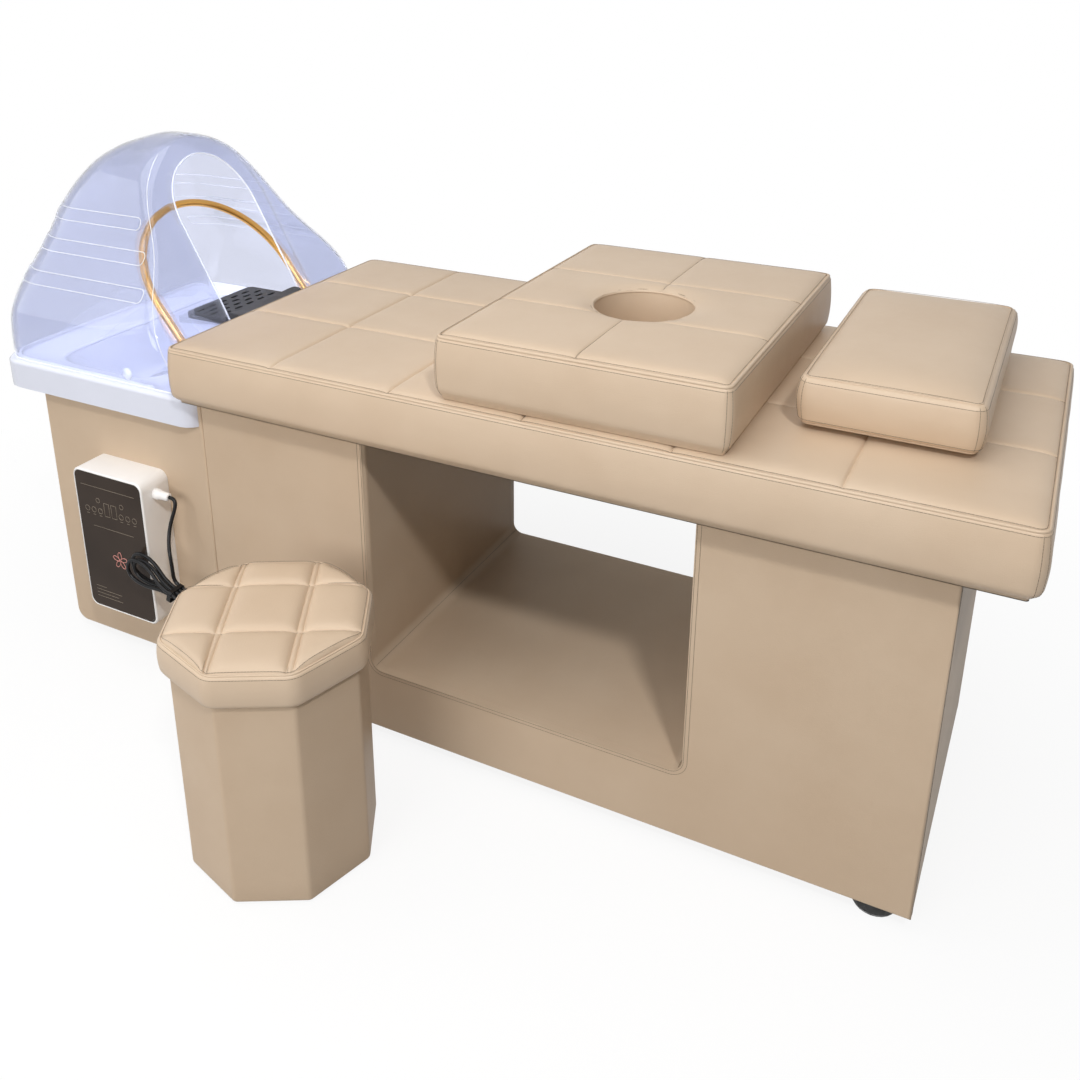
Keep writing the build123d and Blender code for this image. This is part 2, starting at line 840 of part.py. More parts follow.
def spray_hose():
    y = -base_half + panel_thick + shank_tail + clear
    top = rim_top - socket_shank_length - clear
    x = -arch_setback
    middle = (spray_x + x) / 2
    out = y + hose_turn
    return hose([(spray_x, y, shank_z), (spray_x, out - hose_step, shank_z),
                 (spray_x, out, shank_z + hose_step), (middle, out, shank_z + 2 * hose_turn),
                 (x, -socket_y, top - hose_turn), (x, -socket_y, top)])


# Spray arch

def arch_point(y, s):
    """Point at side place y and distance s along the tilted legs."""
    tilt = radians(arch_tilt)
    return Vector(-arch_setback - s * sin(tilt), y, arch_z + s * cos(tilt))


def arch_path():
    r = arch_elbow
    out = arch_half + r
    bend = r * (1 - cos(pi / 4))
    mid_y, mid_s = arch_half + bend, bend
    low = Edge.make_three_point_arc(arch_point(-out, 0), arch_point(-mid_y, mid_s), arch_point(-arch_half, r))
    leg = Edge.make_line(arch_point(-arch_half, r), arch_point(-arch_half, arch_leg))
    top = arch_leg + arch_half
    bow = Edge.make_three_point_arc(arch_point(-arch_half, arch_leg), arch_point(0, top),
                                    arch_point(arch_half, arch_leg))
    back = Edge.make_line(arch_point(arch_half, arch_leg), arch_point(arch_half, r))
    end = Edge.make_three_point_arc(arch_point(arch_half, r), arch_point(mid_y, mid_s), arch_point(out, 0))
    return Wire([low, leg, bow, back, end])


def spray_arch():
    out = arch_half + arch_elbow
    arch = swept(arch_path(), arch_point(-out, 0), (0, 1, 0), arch_radius, arch_sides)
    for side in (-1, 1):
        arch += rod(arch_point(side * out, 0), (0, side, 0), pin_radius, pin_length)
    return arch


def arch_sockets():
    pieces = []
    x = -arch_setback
    for y in (-socket_y, socket_y):
        foot = (x, y, rim_top + clear)
        socket = post(foot, (0, 0, 1), socket_radius, arch_rise + socket_crown)
        socket += post(foot, (0, 0, 1), socket_flange_radius, socket_flange_thick)
        socket += post(foot, (0, 0, -1), socket_shank_radius, socket_shank_length)
        inward = -1 if y > 0 else 1
        mouth = y + inward * (socket_radius + overrun)
        depth = pin_length - socket_gap + clear + overrun
        socket -= rod((x, mouth, arch_z), (0, -inward, 0), pin_radius + pin_clear, depth)
        pieces.append(socket)
    return Compound(children=pieces)


def socket_nuts():
    pieces = []
    z = rim_top - basin_wall - clear
    for y in (-socket_y, socket_y):
        nut = Pos(-arch_setback, y, z - socket_nut_height) * extrude(RegularPolygon(socket_nut_radius, 6),
                                                                     socket_nut_height)
        pieces.append(nut - rod((-arch_setback, y, rim_bottom), (0, 0, 1), socket_shank_radius + clear, rim_height))
    return Compound(children=pieces)


# Headrest

def headrest_pad():
    half = rest_width / 2
    z0 = rest_top - rest_thick
    neck = rest_foot - neck_length
    crest = (neck + rest_foot) / 2
    side = Wire([
        Edge.make_line((rest_head, 0, z0), (rest_foot - neck_edge, 0, z0)),
        Edge.make_line((rest_foot - neck_edge, 0, z0), (rest_foot, 0, rest_top)),
        Edge.make_three_point_arc((rest_foot, 0, rest_top), (crest, 0, rest_top + neck_rise),
                                  (neck, 0, rest_top)),
        Edge.make_line((neck, 0, rest_top), (rest_head, 0, rest_top)),
        Edge.make_line((rest_head, 0, rest_top), (rest_head, 0, z0)),
    ])
    pad = Pos(0, -half, 0) * extrude(Face(side), amount=rest_width, dir=(0, 1, 0))
    reach = half + overrun
    radius = (reach * reach + neck_dip * neck_dip) / (2 * neck_dip)
    low = rest_top + neck_rise - neck_dip
    pad = fillet(pad.edges().filter_by(Axis.Z).group_by(Axis.X)[0], rest_corner)
    pad -= rod((rest_head - overrun, 0, low + radius), (1, 0, 0), radius, rest_length + 2 * overrun)
    for row in range(slot_rows):
        x = rest_head + slot_setback + row * slot_pitch_x
        shift = slot_pitch_y / 4 if row % 2 else -slot_pitch_y / 4
        for column in range(slot_columns):
            y = (column - (slot_columns - 1) / 2) * slot_pitch_y + shift
            slot = Rectangle(slot_width, slot_length)
            slot = Pos(x, y, z0 - overrun) * chamfer(slot.vertices(), slot_width * slot_end_share)
            pad -= extrude(slot, rest_thick + 2 * overrun)
    for y in (-peg_offset, peg_offset):
        pad += rod((rest_foot - peg_setback, y, z0 + overrun), (0, 0, -1), peg_radius, peg_length + overrun)
    return pad


def headrest_cradle():
    """Two cheeks that reach out over the bowl, joined by a cross web and a peg block."""
    half = rest_width / 2 - cradle_inset
    z0, z1 = rim_top + clear, rest_top - rest_thick - clear
    x0, x1 = rest_head + cradle_inset, rest_foot - cradle_inset
    step = bowl_foot + bowl_round + clear
    outline = [(step, 0, z0), (x1, 0, z0), (x1, 0, z1), (x0, 0, z1), (x0, 0, z1 - cradle_lip), (step, 0, z0 + cradle_lip)]
    cheek = extrude(make_face(Polyline(outline, close=True)), amount=cradle_wall, dir=(0, 1, 0))
    cradle = Pos(0, -half, 0) * cheek + Pos(0, half - cradle_wall, 0) * cheek
    cradle += block(x1 - cradle_wall, x1, -half, half, z0, z1)
    cradle += block(step, step + cradle_wall, -half, half, z0, z0 + cradle_lip)
    peg_x = rest_foot - peg_setback
    cradle += block(peg_x - peg_block, x1, -half, half, z1 - peg_length - cradle_wall, z1)
    for y in (-peg_offset, peg_offset):
        cradle -= rod((peg_x, y, z1 + overrun), (0, 0, -1), peg_radius + clear, peg_length + clear + overrun)
    return cradle


# Hood

def hood_ring(shares, inset, z):
    _, head, foot, half, corner = shares
    length = hood_foot - hood_head
    width = half * hood_width / 2
    x0 = hood_head + head * length + inset
    x1 = hood_head + foot * length - inset
    most = min(width - inset, (x1 - x0) / 2) * hood_corner_most_share
    head_corner = min(corner * hood_width / 2, most)
    return plan_ring(x0, x1, inset - width, width - inset, head_corner, min(hood_corner_foot, most), z)


def hood_solid(inset):
    rings = []
    for shares in hood_section_shares:
        z = hood_base + shares[0] * (hood_height - inset)
        rings.append(hood_ring(shares, inset, z))
    return stacked(rings)


def hood():
    inside = hood_solid(hood_wall)
    plan = flat(hood_ring(hood_section_shares[0], hood_wall, hood_base - overrun))
    inside += Solid.extrude(plan, Vector(0, 0, overrun))
    outside = hood_solid(0)
    shell = outside + hood_ribs(outside) - inside
    return shell - hood_mouth()


def hood_mouth():
    """Arched neck opening, cut along X through the sloping front only."""
    centre = hood_base + hood_mouth_height - hood_mouth_half
    low = hood_base - overrun
    half = hood_mouth_half
    plane = Plane(origin=(hood_foot + overrun, 0, 0), x_dir=(0, 1, 0), z_dir=(-1, 0, 0))
    depth = hood_mouth_depth + overrun
    arch = extrude(plane * Pos(0, -centre) * Circle(half), depth)
    return arch + block(hood_foot + overrun - depth, hood_foot + overrun, -half, half, low, centre)


def hood_ribs(outside):
    """Raised pads on both sides: a grown hood cut to rounded bars."""
    grown = hood_solid(-hood_rib_height)
    bars = []
    for rib in range(hood_rib_count):
        z = hood_base + hood_rib_first + rib * hood_rib_pitch
        share = (z + hood_rib_width / 2 - hood_base) / hood_height
        x0 = hood_edge(share, 1) + hood_rib_margin_head
        x1 = hood_edge(share, 2) - hood_rib_margin
        plane = Plane.XZ * Pos((x0 + x1) / 2, z + hood_rib_width / 2)
        bars.append(extrude(plane * RectangleRounded(x1 - x0, hood_rib_width, hood_rib_round),
                            hood_width, both=True))
    ribs = grown & (bars[0] + bars[1:])
    return ribs


def hood_edge(share, column):
    """Head end (column 1) or foot end (column 2) of the hood at a share of its height."""
    table = hood_section_shares
    for low, high in zip(table, table[1:]):
        if low[0] <= share <= high[0]:
            part = (share - low[0]) / (high[0] - low[0])
            value = low[column] + part * (high[column] - low[column])
            return hood_head + value * (hood_foot - hood_head)
    return hood_head


# Water heater

def heater_slab(inset, corner, y0, depth):
    """Rounded slab in the plane of the cabinet front, from y0 towards the front."""
    width = heater_width - 2 * inset
    height = heater_height - 2 * inset
    middle = Pos((heater_head + heater_foot) / 2, heater_bottom + heater_height / 2)
    return extrude(Plane.XZ * middle * Pos(0, 0, -y0) * RectangleRounded(width, height, corner), depth)


def heater_body():
    back = -base_half - clear
    body = heater_slab(0, heater_corner, back, -heater_front + back)
    body = chamfer(body.faces().sort_by(Axis.Y)[0].edges(), heater_edge)
    recess = glass_thick + glass_sink
    body -= heater_slab(glass_border, heater_corner - glass_border, heater_front + recess, recess + overrun)
    depth = back - heater_front - recess - heater_wall
    body -= heater_slab(heater_wall, heater_corner - heater_wall, back + overrun, depth + overrun)
    return body - rod((heater_foot - heater_wall - overrun, gland_y, gland_z), (1, 0, 0),
                      gland_tip_radius + clear, heater_wall + 2 * overrun) - outlet_hole()


def outlet_hole():
    z = heater_bottom - overrun
    return rod((outlet_x, gland_y, z), (0, 0, 1), outlet_radius + clear, heater_wall + 2 * overrun)


def heater_glass():
    inset = glass_border + clear
    y0 = heater_front + glass_thick + glass_sink
    return heater_slab(inset, heater_corner - inset, y0, glass_thick)


def heater_wall_plate():
    inset = wall_plate_margin
    plate = heater_slab(inset, heater_corner, -base_half - clear, wall_plate_thick)
    for x in (feed_x, spray_x):
        plate -= rod((x, -base_half + overrun, shank_z), (0, -1, 0), shank_radius + clear,
                     wall_plate_thick + 2 * overrun)
    return plate


def heater_shanks():
    """Two water stubs from the heater through the cabinet front."""
    pieces = []
    start = -base_half - clear - wall_plate_thick - shank_head
    for x in (feed_x, spray_x):
        length = -base_half + panel_thick + shank_tail - start
        head = shank_head - clear
        stub = turned((x, start, shank_z), (0, 1, 0), ((0, shank_radius), (length, shank_radius)), tube_sides)
        stub += turned((x, start, shank_z), (0, 1, 0), ((0, shank_radius + overrun),
                                                        (head, shank_radius + overrun)), tube_sides)
        pieces.append(stub)
    return Compound(children=pieces)


def heating_tank():
    x = (heater_head + heater_foot) / 2
    y = -base_half - clear - wall_plate_thick - shank_head - tank_radius - 2 * clear
    z = heater_bottom + (heater_height - tank_length) / 2
    return post((x, y, z), (0, 0, 1), tank_radius, tank_length)


def control_board():
    x = (heater_head + heater_foot) / 2
    z = heater_bottom + heater_height / 2
    y = heater_front + glass_thick + glass_sink + heater_wall + clear
    w, h, t = circuit_width / 2, circuit_height / 2, circuit_thick
    board = block(x - w, x + w, y, y + t, z - h, z + h)
    edge = tank_radius + relay_side / 2
    for side in (-1, 1):
        cx = x + side * edge
        board += block(cx - relay_side / 2, cx + relay_side / 2, y, y + relay_side, z, z + relay_side)
    return board


def heater_gland():
    at = (heater_foot + clear, gland_y, gland_z)
    gland = turned(at, (1, 0, 0), ((0, gland_base_radius), (gland_base_length, gland_base_radius),
                                   (gland_base_length + overrun, gland_base_radius - overrun),
                                   (gland_length - overrun, gland_tip_radius),
                                   (gland_length - clear, gland_tip_radius - overrun)), gland_sides)
    return gland + turned(at, (-1, 0, 0), ((0, gland_tip_radius), (heater_wall + gland_stem, gland_tip_radius)),
                          gland_sides)


def heater_outlet():
    y = gland_y
    top = heater_bottom + heater_wall
    fitting = rod((outlet_x, y, top + outlet_stem), (0, 0, -1), outlet_radius, outlet_stem + outlet_length)
    collar = Pos(outlet_x, y, heater_bottom - clear - outlet_hex_length) * extrude(
        RegularPolygon(outlet_hex, 6), outlet_hex_length)
    fitting += collar
    return fitting - rod((outlet_x, y, top + outlet_stem + overrun), (0, 0, -1), outlet_bore, heater_height)


# Mains cord

def bend_radii(points):
    """Bend radius at each corner from its runs and its turn."""
    radii = []
    for a, b, c in zip(points, points[1:], points[2:]):
        first, second = Vector(*b) - Vector(*a), Vector(*c) - Vector(*b)
        turn = radians(first.get_angle(second))
        radii.append(run_share * min(first.length, second.length) / tan(turn / 2))
    return radii


def cord_tube(points):
    path = FilletPolyline(*points, radius=bend_radii(points))
    start = Vector(*points[0])
    return swept(path, start, Vector(*points[1]) - start, cord_radius, cord_sides)


def hank_axes():
    slope = radians(hank_slope)
    return Vector(cos(slope), 0, -sin(slope)), Vector(sin(slope), 0, cos(slope)), Vector(0, -1, 0)


def arc_between(start, heading, side, radius, angle):
    """Arc that leaves start along heading and bends towards side."""
    def at(turn):
        return start + heading * (radius * sin(turn)) + side * (radius * (1 - cos(turn)))
    return Edge.make_three_point_arc(at(0), at(angle / 2), at(angle))


def s_run(start, end, heading):
    """Two equal arcs from start to end, both ends along heading."""
    gap = end - start
    ahead = gap.dot(heading)
    aside = gap - heading * ahead
    angle = 2 * atan2(aside.length, ahead)
    radius = ahead / 2 / sin(angle)
    side = aside.normalized()
    first = arc_between(start, heading, side, radius, angle)
    second = arc_between(end, heading * -1, side * -1, radius, angle)
    middle = first @ 1
    return [first, Edge.make_three_point_arc(middle, second @ 0.5, end)]


def lobe(centre, radius, up, out):
    """Half turn round a lobe, from up through out to down, as two quarter turns."""
    edges = []
    for start, side in ((up, out), (out, up * -1)):
        half = (start + side).normalized()
        edges.append(Edge.make_three_point_arc(centre + start * radius, centre + half * radius,
                                               centre + side * radius))
    return edges


def hank_ends():
    """First point of the hank, where the cord comes down into it, and its last point."""
    u, v, back = hank_axes()
    down = Vector(0, 0, -1)
    turn = radians(down.get_angle(u))
    top = Vector(*hank_middle) + v * hank_waist
    start = top - (down + u) * (hank_bend * tan(turn / 2)) - down * hank_lead
    last = top + back * (hank_pitch * hank_turns)
    end = last + (down + u) * (hank_leave * tan(turn / 2)) + down * hank_lead
    return start, top, last, end, turn


def hank_edges():
    u, v, back = hank_axes()
    down = Vector(0, 0, -1)
    start, top, last, end, turn = hank_ends()
    bend = start + down * hank_lead
    side = (u - down * u.dot(down)).normalized()
    edges = [Edge.make_line(start, bend), arc_between(bend, down, side, hank_bend, turn)]
    for number in range(hank_turns):
        middle = Vector(*hank_middle) + back * (hank_pitch * number)
        reach = hank_half * lobe_half_shares[number]
        radius = hank_lobe * lobe_radius_shares[number]
        high, low = v * radius, v * -radius
        waist = v * hank_waist
        edges += s_run(middle + waist, middle + u * reach + high, u)
        edges += lobe(middle + u * reach, radius, v, u)
        edges += s_run(middle + u * reach + low, middle - waist, u * -1)
        edges += s_run(middle - waist, middle - u * reach + low, u * -1)
        edges += lobe(middle - u * reach, radius, v * -1, u * -1)
        edges += s_run(middle - u * reach + high, middle + waist + back * hank_pitch, u)
    side = (down - u * u.dot(down)).normalized()
    edges.append(arc_between(last, u, side, hank_leave, turn))
    edges.append(Edge.make_line(end - down * hank_lead, end))
    return edges


def cord_hank():
    start = hank_ends()[0]
    return swept(Wire(hank_edges()), start, (0, 0, -1), cord_radius, cord_sides)


def cord_drop_points():
    points = [tuple(a + b for a, b in zip(gland_mouth, p)) for p in drop_route]
    start = hank_ends()[0]
    return points + [(start.X, start.Y, start.Z + hank_lead), (start.X, start.Y, start.Z)]


def cord_drop():
    return cord_tube(cord_drop_points())


def cord_tail_points():
    end = hank_ends()[3]
    return [(end.X + x, end.Y + y, end.Z + z) for x, y, z in tail_route]


def cord_tail():
    return cord_tube(cord_tail_points())


def hank_tie():
    """Band round the waist of the hank."""
    u, v, back = hank_axes()
    depth = hank_pitch * hank_turns + cord_dia + 2 * tie_gap
    width = 2 * hank_waist + cord_dia + 2 * tie_gap
    middle = Vector(*hank_middle) + back * (hank_pitch * hank_turns / 2)
    plane = Plane(origin=middle - u * (tie_width / 2), x_dir=back, z_dir=u)
    corner = cord_radius + tie_gap
    outer = RectangleRounded(depth + 2 * tie_wall, width + 2 * tie_wall, corner + tie_wall)
    return extrude(plane * (outer - RectangleRounded(depth, width, corner)), tie_width)


def plug_body():
    x, y, z = cord_tail_points()[-1]
    grip = plug_neck_radius + overrun
    return turned((x, y, z), (0, 0, -1), ((0, plug_neck_radius), (plug_neck_length, grip),
                                          (plug_neck_length + plug_length / 2, plug_radius),
                                          (plug_neck_length + plug_length - overrun, plug_radius),
                                          (plug_neck_length + plug_length, plug_radius - overrun)), plug_sides)


def plug_pins():
    x, y, z = cord_tail_points()[-1]
    face = z - plug_neck_length - plug_length
    pieces = []
    for side in (-1, 1):
        pin = rod((x + side * plug_pin_pitch / 2, y, face), (0, 0, -1), plug_pin_radius, plug_pin_length)
        pieces.append(pin)
    return Compound(children=pieces)


# Loose cushions

def face_cushion():
    half = cushion_width / 2
    y0, y1 = cushion_shift - half, cushion_shift + half
    x0, x1 = cushion_setback, cushion_setback + cushion_length
    z0 = pad_top + clear
    cushion = box_cushion(x0, x1, y0, y1, cushion_corner, z0, cushion_height, cushion_crown, cushion_bulge,
                          cushion_edge, cushion_columns, cushion_rows)
    return cushion - face_hole(z0)


def face_hole(z0):
    """Hole with its rim drawn in at the top and at the bottom."""
    at = Pos((2 * cushion_setback + cushion_length) / 2, cushion_shift + face_hole_shift)
    r, lip = face_hole_radius, face_hole_lip
    top = z0 + cushion_height + cushion_crown
    sections = []
    for z, radius in ((z0 - overrun, r + lip), (z0 + lip, r), (top - 2 * lip, r), (top - lip / 2, r + lip / 2),
                      (top + overrun, r + 2 * lip)):
        sections.append(at * Pos(0, 0, z) * Circle(radius))
    return loft(sections, ruled=True)


def pillow():
    half = pillow_width / 2
    y0, y1 = pillow_shift - half, pillow_shift + half
    x0, x1 = pillow_setback, pillow_setback + pillow_length
    z0 = pad_top + clear + pillow_belly

    def outline(inset, z):
        turn = pillow_corner - inset
        return plan_ring(x0 + inset, x1 - inset, y0 + inset, y1 - inset, turn, turn, z)

    def swell(z, height):
        rings = []
        for rise, size in zip(crown_height_shares, crown_size_shares):
            inset = (1 - size) * pillow_length / 2
            rings.append(plan_ring(x0 + inset, x1 - inset, y0 + inset, y1 - inset, pillow_corner,
                                   pillow_corner, z + rise * height))
        return stacked(rings)

    body = soft_body(outline, z0, pillow_height, pillow_bulge, 0)
    return body + swell(z0 + pillow_height, pillow_crown) + swell(z0, -pillow_belly)


# Stool

def octagon_ring(radius, corner, z):
    """Octagon with rounded corners; radius is the distance to its sharp corners."""
    ball = radius - corner / cos(pi / 8)
    points = []
    for number in range(8):
        for step in range(octagon_steps + 1):
            angle = radians(stool_turn + 45 * number)
            turn = angle + radians(45 * (step / octagon_steps - 0.5))
            points.append((stool_x + ball * cos(angle) + corner * cos(turn),
                           stool_y + ball * sin(angle) + corner * sin(turn), z))
    return points


def octagon(radius, corner, z, height):
    return Solid.extrude(flat(octagon_ring(radius, corner, z)), Vector(0, 0, height))


def octagon_reach(radius, corner):
    """How far the rounded octagon reaches towards -Y from its middle."""
    ball = radius - corner / cos(pi / 8)
    best = 0
    for number in range(8):
        angle = radians(stool_turn + 45 * number)
        best = max(best, -ball * sin(angle))
    return best + corner


def stool_body():
    height = stool_body_height
    outer = octagon(stool_body_radius, stool_body_corner, stool_glide, height)
    inner = octagon(stool_body_radius - stool_wall, stool_body_corner, stool_glide + stool_wall, height)
    return outer - inner


def stool_seat_board():
    z = stool_glide + stool_body_height + clear
    return octagon(stool_body_radius, stool_body_corner, z, stool_board)


def stool_seat():
    z0 = stool_glide + stool_body_height - seat_overlap

    def outline(inset, z):
        return octagon_ring(seat_radius - inset, seat_corner, z)

    seat = soft_body(outline, z0, seat_height, seat_bulge, seat_edge)
    seat += seat_panels(z0 + seat_height)
    space = stool_glide + stool_body_height + 2 * clear + stool_board
    return seat - octagon(stool_body_radius + clear, stool_body_corner, z0 - overrun, space - z0 + overrun)


def seat_panels(z):
    """Nine sewn panels: a middle square, four sides and four corners cut off by the octagon."""
    flat = seat_radius * cos(pi / 8)
    line = seat_radius * sin(pi / 8)
    bands = ((-flat, -line), (-line, line), (line, flat))
    panels = []
    for i, (x0, x1) in enumerate(bands):
        for j, (y0, y1) in enumerate(bands):
            corners = [(x0, y0), (x1, y0), (x1, y1), (x0, y1)]
            if i != 1 and j != 1:
                out = (flat if i else -flat, flat if j else -flat)
                corners = [c for c in corners if c != out]
            turned = [turn_stool(x, y) for x, y in corners]
            panels.append(crowned_panel(turned, z, seat_crown))
    return panels


def turn_stool(x, y):
    angle = radians(stool_turn + 45 / 2)
    return stool_x + x * cos(angle) - y * sin(angle), stool_y + x * sin(angle) + y * cos(angle)


def stool_glides():
    pieces = []
    for number in range(4):
        angle = radians(stool_turn + 90 * number)
        reach = stool_body_radius - 2 * stool_glide_radius
        x, y = stool_x + reach * cos(angle), stool_y + reach * sin(angle)
        pieces.append(post((x, y, 0), (0, 0, 1), stool_glide_radius, stool_glide - clear))
    return Compound(children=pieces)


# The origin is under the middle of the set: halfway from the rim to the foot end of the mattress and
# from the back of the mattress to the front of the stool
middle_x = (rim_head + pad_length + pad_bulge) / 2
reach_front = stool_y - octagon_reach(seat_radius + seat_bulge, seat_corner)
middle_y = (pad_width / 2 + pad_bulge + reach_front) / 2

nodes = {
    "mattress_pad": mattress_pad,
    "mattress_board": mattress_board,
    "front_panel": front_panel,
    "rear_panel": rear_panel,
    "tunnel_lining": tunnel_lining,
    "foot_end_panel": foot_end_panel,
    "base_head_board": base_head_board,
    "base_bottom": base_bottom,
    "corner_battens": corner_battens,
    "feet": feet,
    "foot_rims": foot_rims,
    "cabinet_front": cabinet_front,
    "cabinet_rear": cabinet_rear,
    "cabinet_wrap": cabinet_wrap,
    "basin": basin,
    "basin_bowl": basin_bowl,
    "drain_flange": drain_flange,
    "drain_strainer": drain_strainer,
    "drain_nut": drain_nut,
    "waste_trap": waste_trap,
    "waste_pipe": waste_pipe,
    "water_inlet": water_inlet,
    "feed_hose": feed_hose,
    "spray_hose": spray_hose,
    "spray_arch": spray_arch,
    "arch_sockets": arch_sockets,
    "socket_nuts": socket_nuts,
    "headrest_pad": headrest_pad,
    "headrest_cradle": headrest_cradle,
    "hood": hood,
    "heater_body": heater_body,
    "heater_glass": heater_glass,
    "heater_wall_plate": heater_wall_plate,
    "heater_shanks": heater_shanks,
    "heating_tank": heating_tank,
    "control_board": control_board,
    "heater_outlet": heater_outlet,
    "heater_gland": heater_gland,
    "cord_drop": cord_drop,
    "cord_hank": cord_hank,
    "hank_tie": hank_tie,
    "cord_tail": cord_tail,
    "plug_body": plug_body,
    "plug_pins": plug_pins,
    "face_cushion": face_cushion,
    "pillow": pillow,
    "stool_body": stool_body,
    "stool_seat_board": stool_seat_board,
    "stool_seat": stool_seat,
    "stool_glides": stool_glides,
}

os.makedirs("parts", exist_ok=True)
for name, make in nodes.items():
    shape = Pos(-middle_x, -middle_y, 0) * make()
    export_step(shape, f"parts/{name}.step")
    print(name, round(shape.volume))
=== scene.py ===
import bpy
import bmesh
from math import atan2, copysign, cos, exp, hypot, pi, prod, radians, sin, sqrt, tan
from mathutils import Matrix, Vector, noise


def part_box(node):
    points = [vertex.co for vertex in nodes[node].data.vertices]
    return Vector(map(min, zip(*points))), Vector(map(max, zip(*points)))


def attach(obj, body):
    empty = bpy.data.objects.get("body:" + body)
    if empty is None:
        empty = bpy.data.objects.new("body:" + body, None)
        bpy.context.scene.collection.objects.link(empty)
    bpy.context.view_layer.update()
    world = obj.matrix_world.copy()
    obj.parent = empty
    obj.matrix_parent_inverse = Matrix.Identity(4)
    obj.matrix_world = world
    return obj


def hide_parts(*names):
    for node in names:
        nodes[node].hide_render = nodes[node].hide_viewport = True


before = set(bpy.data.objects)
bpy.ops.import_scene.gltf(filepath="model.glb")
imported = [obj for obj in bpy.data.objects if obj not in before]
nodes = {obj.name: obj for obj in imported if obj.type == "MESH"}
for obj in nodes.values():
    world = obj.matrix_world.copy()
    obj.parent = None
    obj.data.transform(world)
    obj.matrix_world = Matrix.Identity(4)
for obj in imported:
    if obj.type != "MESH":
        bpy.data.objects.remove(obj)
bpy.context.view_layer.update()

scene = bpy.context.scene
bedZero = Vector((-0.5065, 0.207269, 0.0))  # head end of the mattress, its centre line, the floor
mergeFine, mergeHood, mergeCad, mergeSoft = 1e-7, 1e-6, 1e-5, 2e-5  # metres within which points are one


def at(x, y, z):
    return bedZero + Vector((x, y, z))


# points of flat paths

def straight(a, b, steps):
    return [(a[0] + (b[0] - a[0]) * k / steps, a[1] + (b[1] - a[1]) * k / steps) for k in range(steps + 1)]


def arc(cx, cy, radius, start, stop, steps):
    # angles in degrees
    turns = [radians(start + (stop - start) * k / steps) for k in range(steps + 1)]
    return [(cx + radius * cos(turn), cy + radius * sin(turn)) for turn in turns]


def circle(cx, cy, radius, count):
    return arc(cx, cy, radius, 0, 360, count)[:-1]


def thinned(points, gap):
    keep = [points[0]]
    for p in points[1:]:
        if (p - keep[-1]).length > gap and (p - points[0]).length > gap * 0.7:
            keep.append(p)
    return keep


def smoothStep(low, high, value):
    t = min(max((value - low) / (high - low), 0.0), 1.0)
    return t * t * (3 - 2 * t)


# small mesh helpers

def addObject(name, mesh, material=None):
    piece = bpy.data.objects.new(name, mesh)
    mesh.name = name
    scene.collection.objects.link(piece)
    if material:
        mesh.materials.append(material)
    return piece


def finishPiece(piece, body, slotName, *replaced):
    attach(piece, body)
    if replaced:
        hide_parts(*replaced)


def shadeSmooth(mesh, sharp=None):
    mesh.polygons.foreach_set("use_smooth", [True] * len(mesh.polygons))
    if sharp is not None:
        mesh.set_sharp_from_angle(angle=radians(sharp))


def meshFrom(points, faces):
    mesh = bpy.data.meshes.new("mesh")
    mesh.from_pydata([tuple(p) for p in points], [], faces)
    shadeSmooth(mesh)
    mesh.update()
    return mesh


def tidyMesh(mesh, merge):
    work = bmesh.new()
    work.from_mesh(mesh)
    bmesh.ops.remove_doubles(work, verts=work.verts, dist=merge)
    bmesh.ops.recalc_face_normals(work, faces=work.faces)
    if work.calc_volume(signed=True) < 0:
        bmesh.ops.reverse_faces(work, faces=work.faces)
    work.to_mesh(mesh)
    work.free()
    return mesh


def settle(piece):
    # the evaluated shape becomes the piece's own plain mesh
    graph = bpy.context.evaluated_depsgraph_get()
    mesh = bpy.data.meshes.new_from_object(piece.evaluated_get(graph))
    piece.modifiers.clear()
    piece.data = mesh


def cutWith(piece, name, rings):
    # takes the closed shape through the rings away from the piece
    cutter = addObject(name, stackMesh(rings))
    cut = piece.modifiers.new(name, "BOOLEAN")
    cut.operation, cut.object, cut.solver = "DIFFERENCE", cutter, "EXACT"
    settle(piece)
    bpy.data.objects.remove(cutter)


def stackMesh(rings, openFoot=False, merge=mergeFine):
    # skin through rings of the same number of points, closed at its ends
    count = len(rings[0])
    verts = [p for ring in rings for p in ring]
    faces = [] if openFoot else [tuple(range(count))[::-1]]
    faces.append(tuple(range(len(verts) - count, len(verts))))
    for k in range(0, len(verts) - count, count):
        faces += [(k + i, k + (i + 1) % count, k + count + (i + 1) % count, k + count + i) for i in range(count)]
    return tidyMesh(meshFrom(verts, faces), merge)


def tube(points, radius, closed=False, sides=10):
    # round bar along a list of points
    count = len(points)
    verts, faces = [], []
    up = None
    for i, p in enumerate(points):
        if closed:
            along = points[(i + 1) % count] - points[i - 1]
        else:
            along = points[min(i + 1, count - 1)] - points[max(i - 1, 0)]
        along.normalize()
        if up is None:
            up = along.orthogonal().normalized()
        up = (up - along * up.dot(along)).normalized()
        side = along.cross(up)
        for k in range(sides):
            turn = 2 * pi * k / sides
            verts.append(p + (up * cos(turn) + side * sin(turn)) * radius)
    if closed:  # the frame may come back turned, so the seam joins the nearest points
        last = verts[(count - 1) * sides]
        shift = min(range(sides), key=lambda s: (verts[s] - last).length)
    for i in range(count if closed else count - 1):
        j = (i + 1) % count
        for k in range(sides):
            m = (k + 1) % sides
            c, d = (j * sides + m, j * sides + k) if j else ((m + shift) % sides, (k + shift) % sides)
            faces.append((i * sides + k, i * sides + m, c, d))
    if not closed:
        faces.append(tuple(range(sides))[::-1])
        faces.append(tuple(range((count - 1) * sides, count * sides)))
    return tidyMesh(meshFrom(verts, faces), mergeFine)


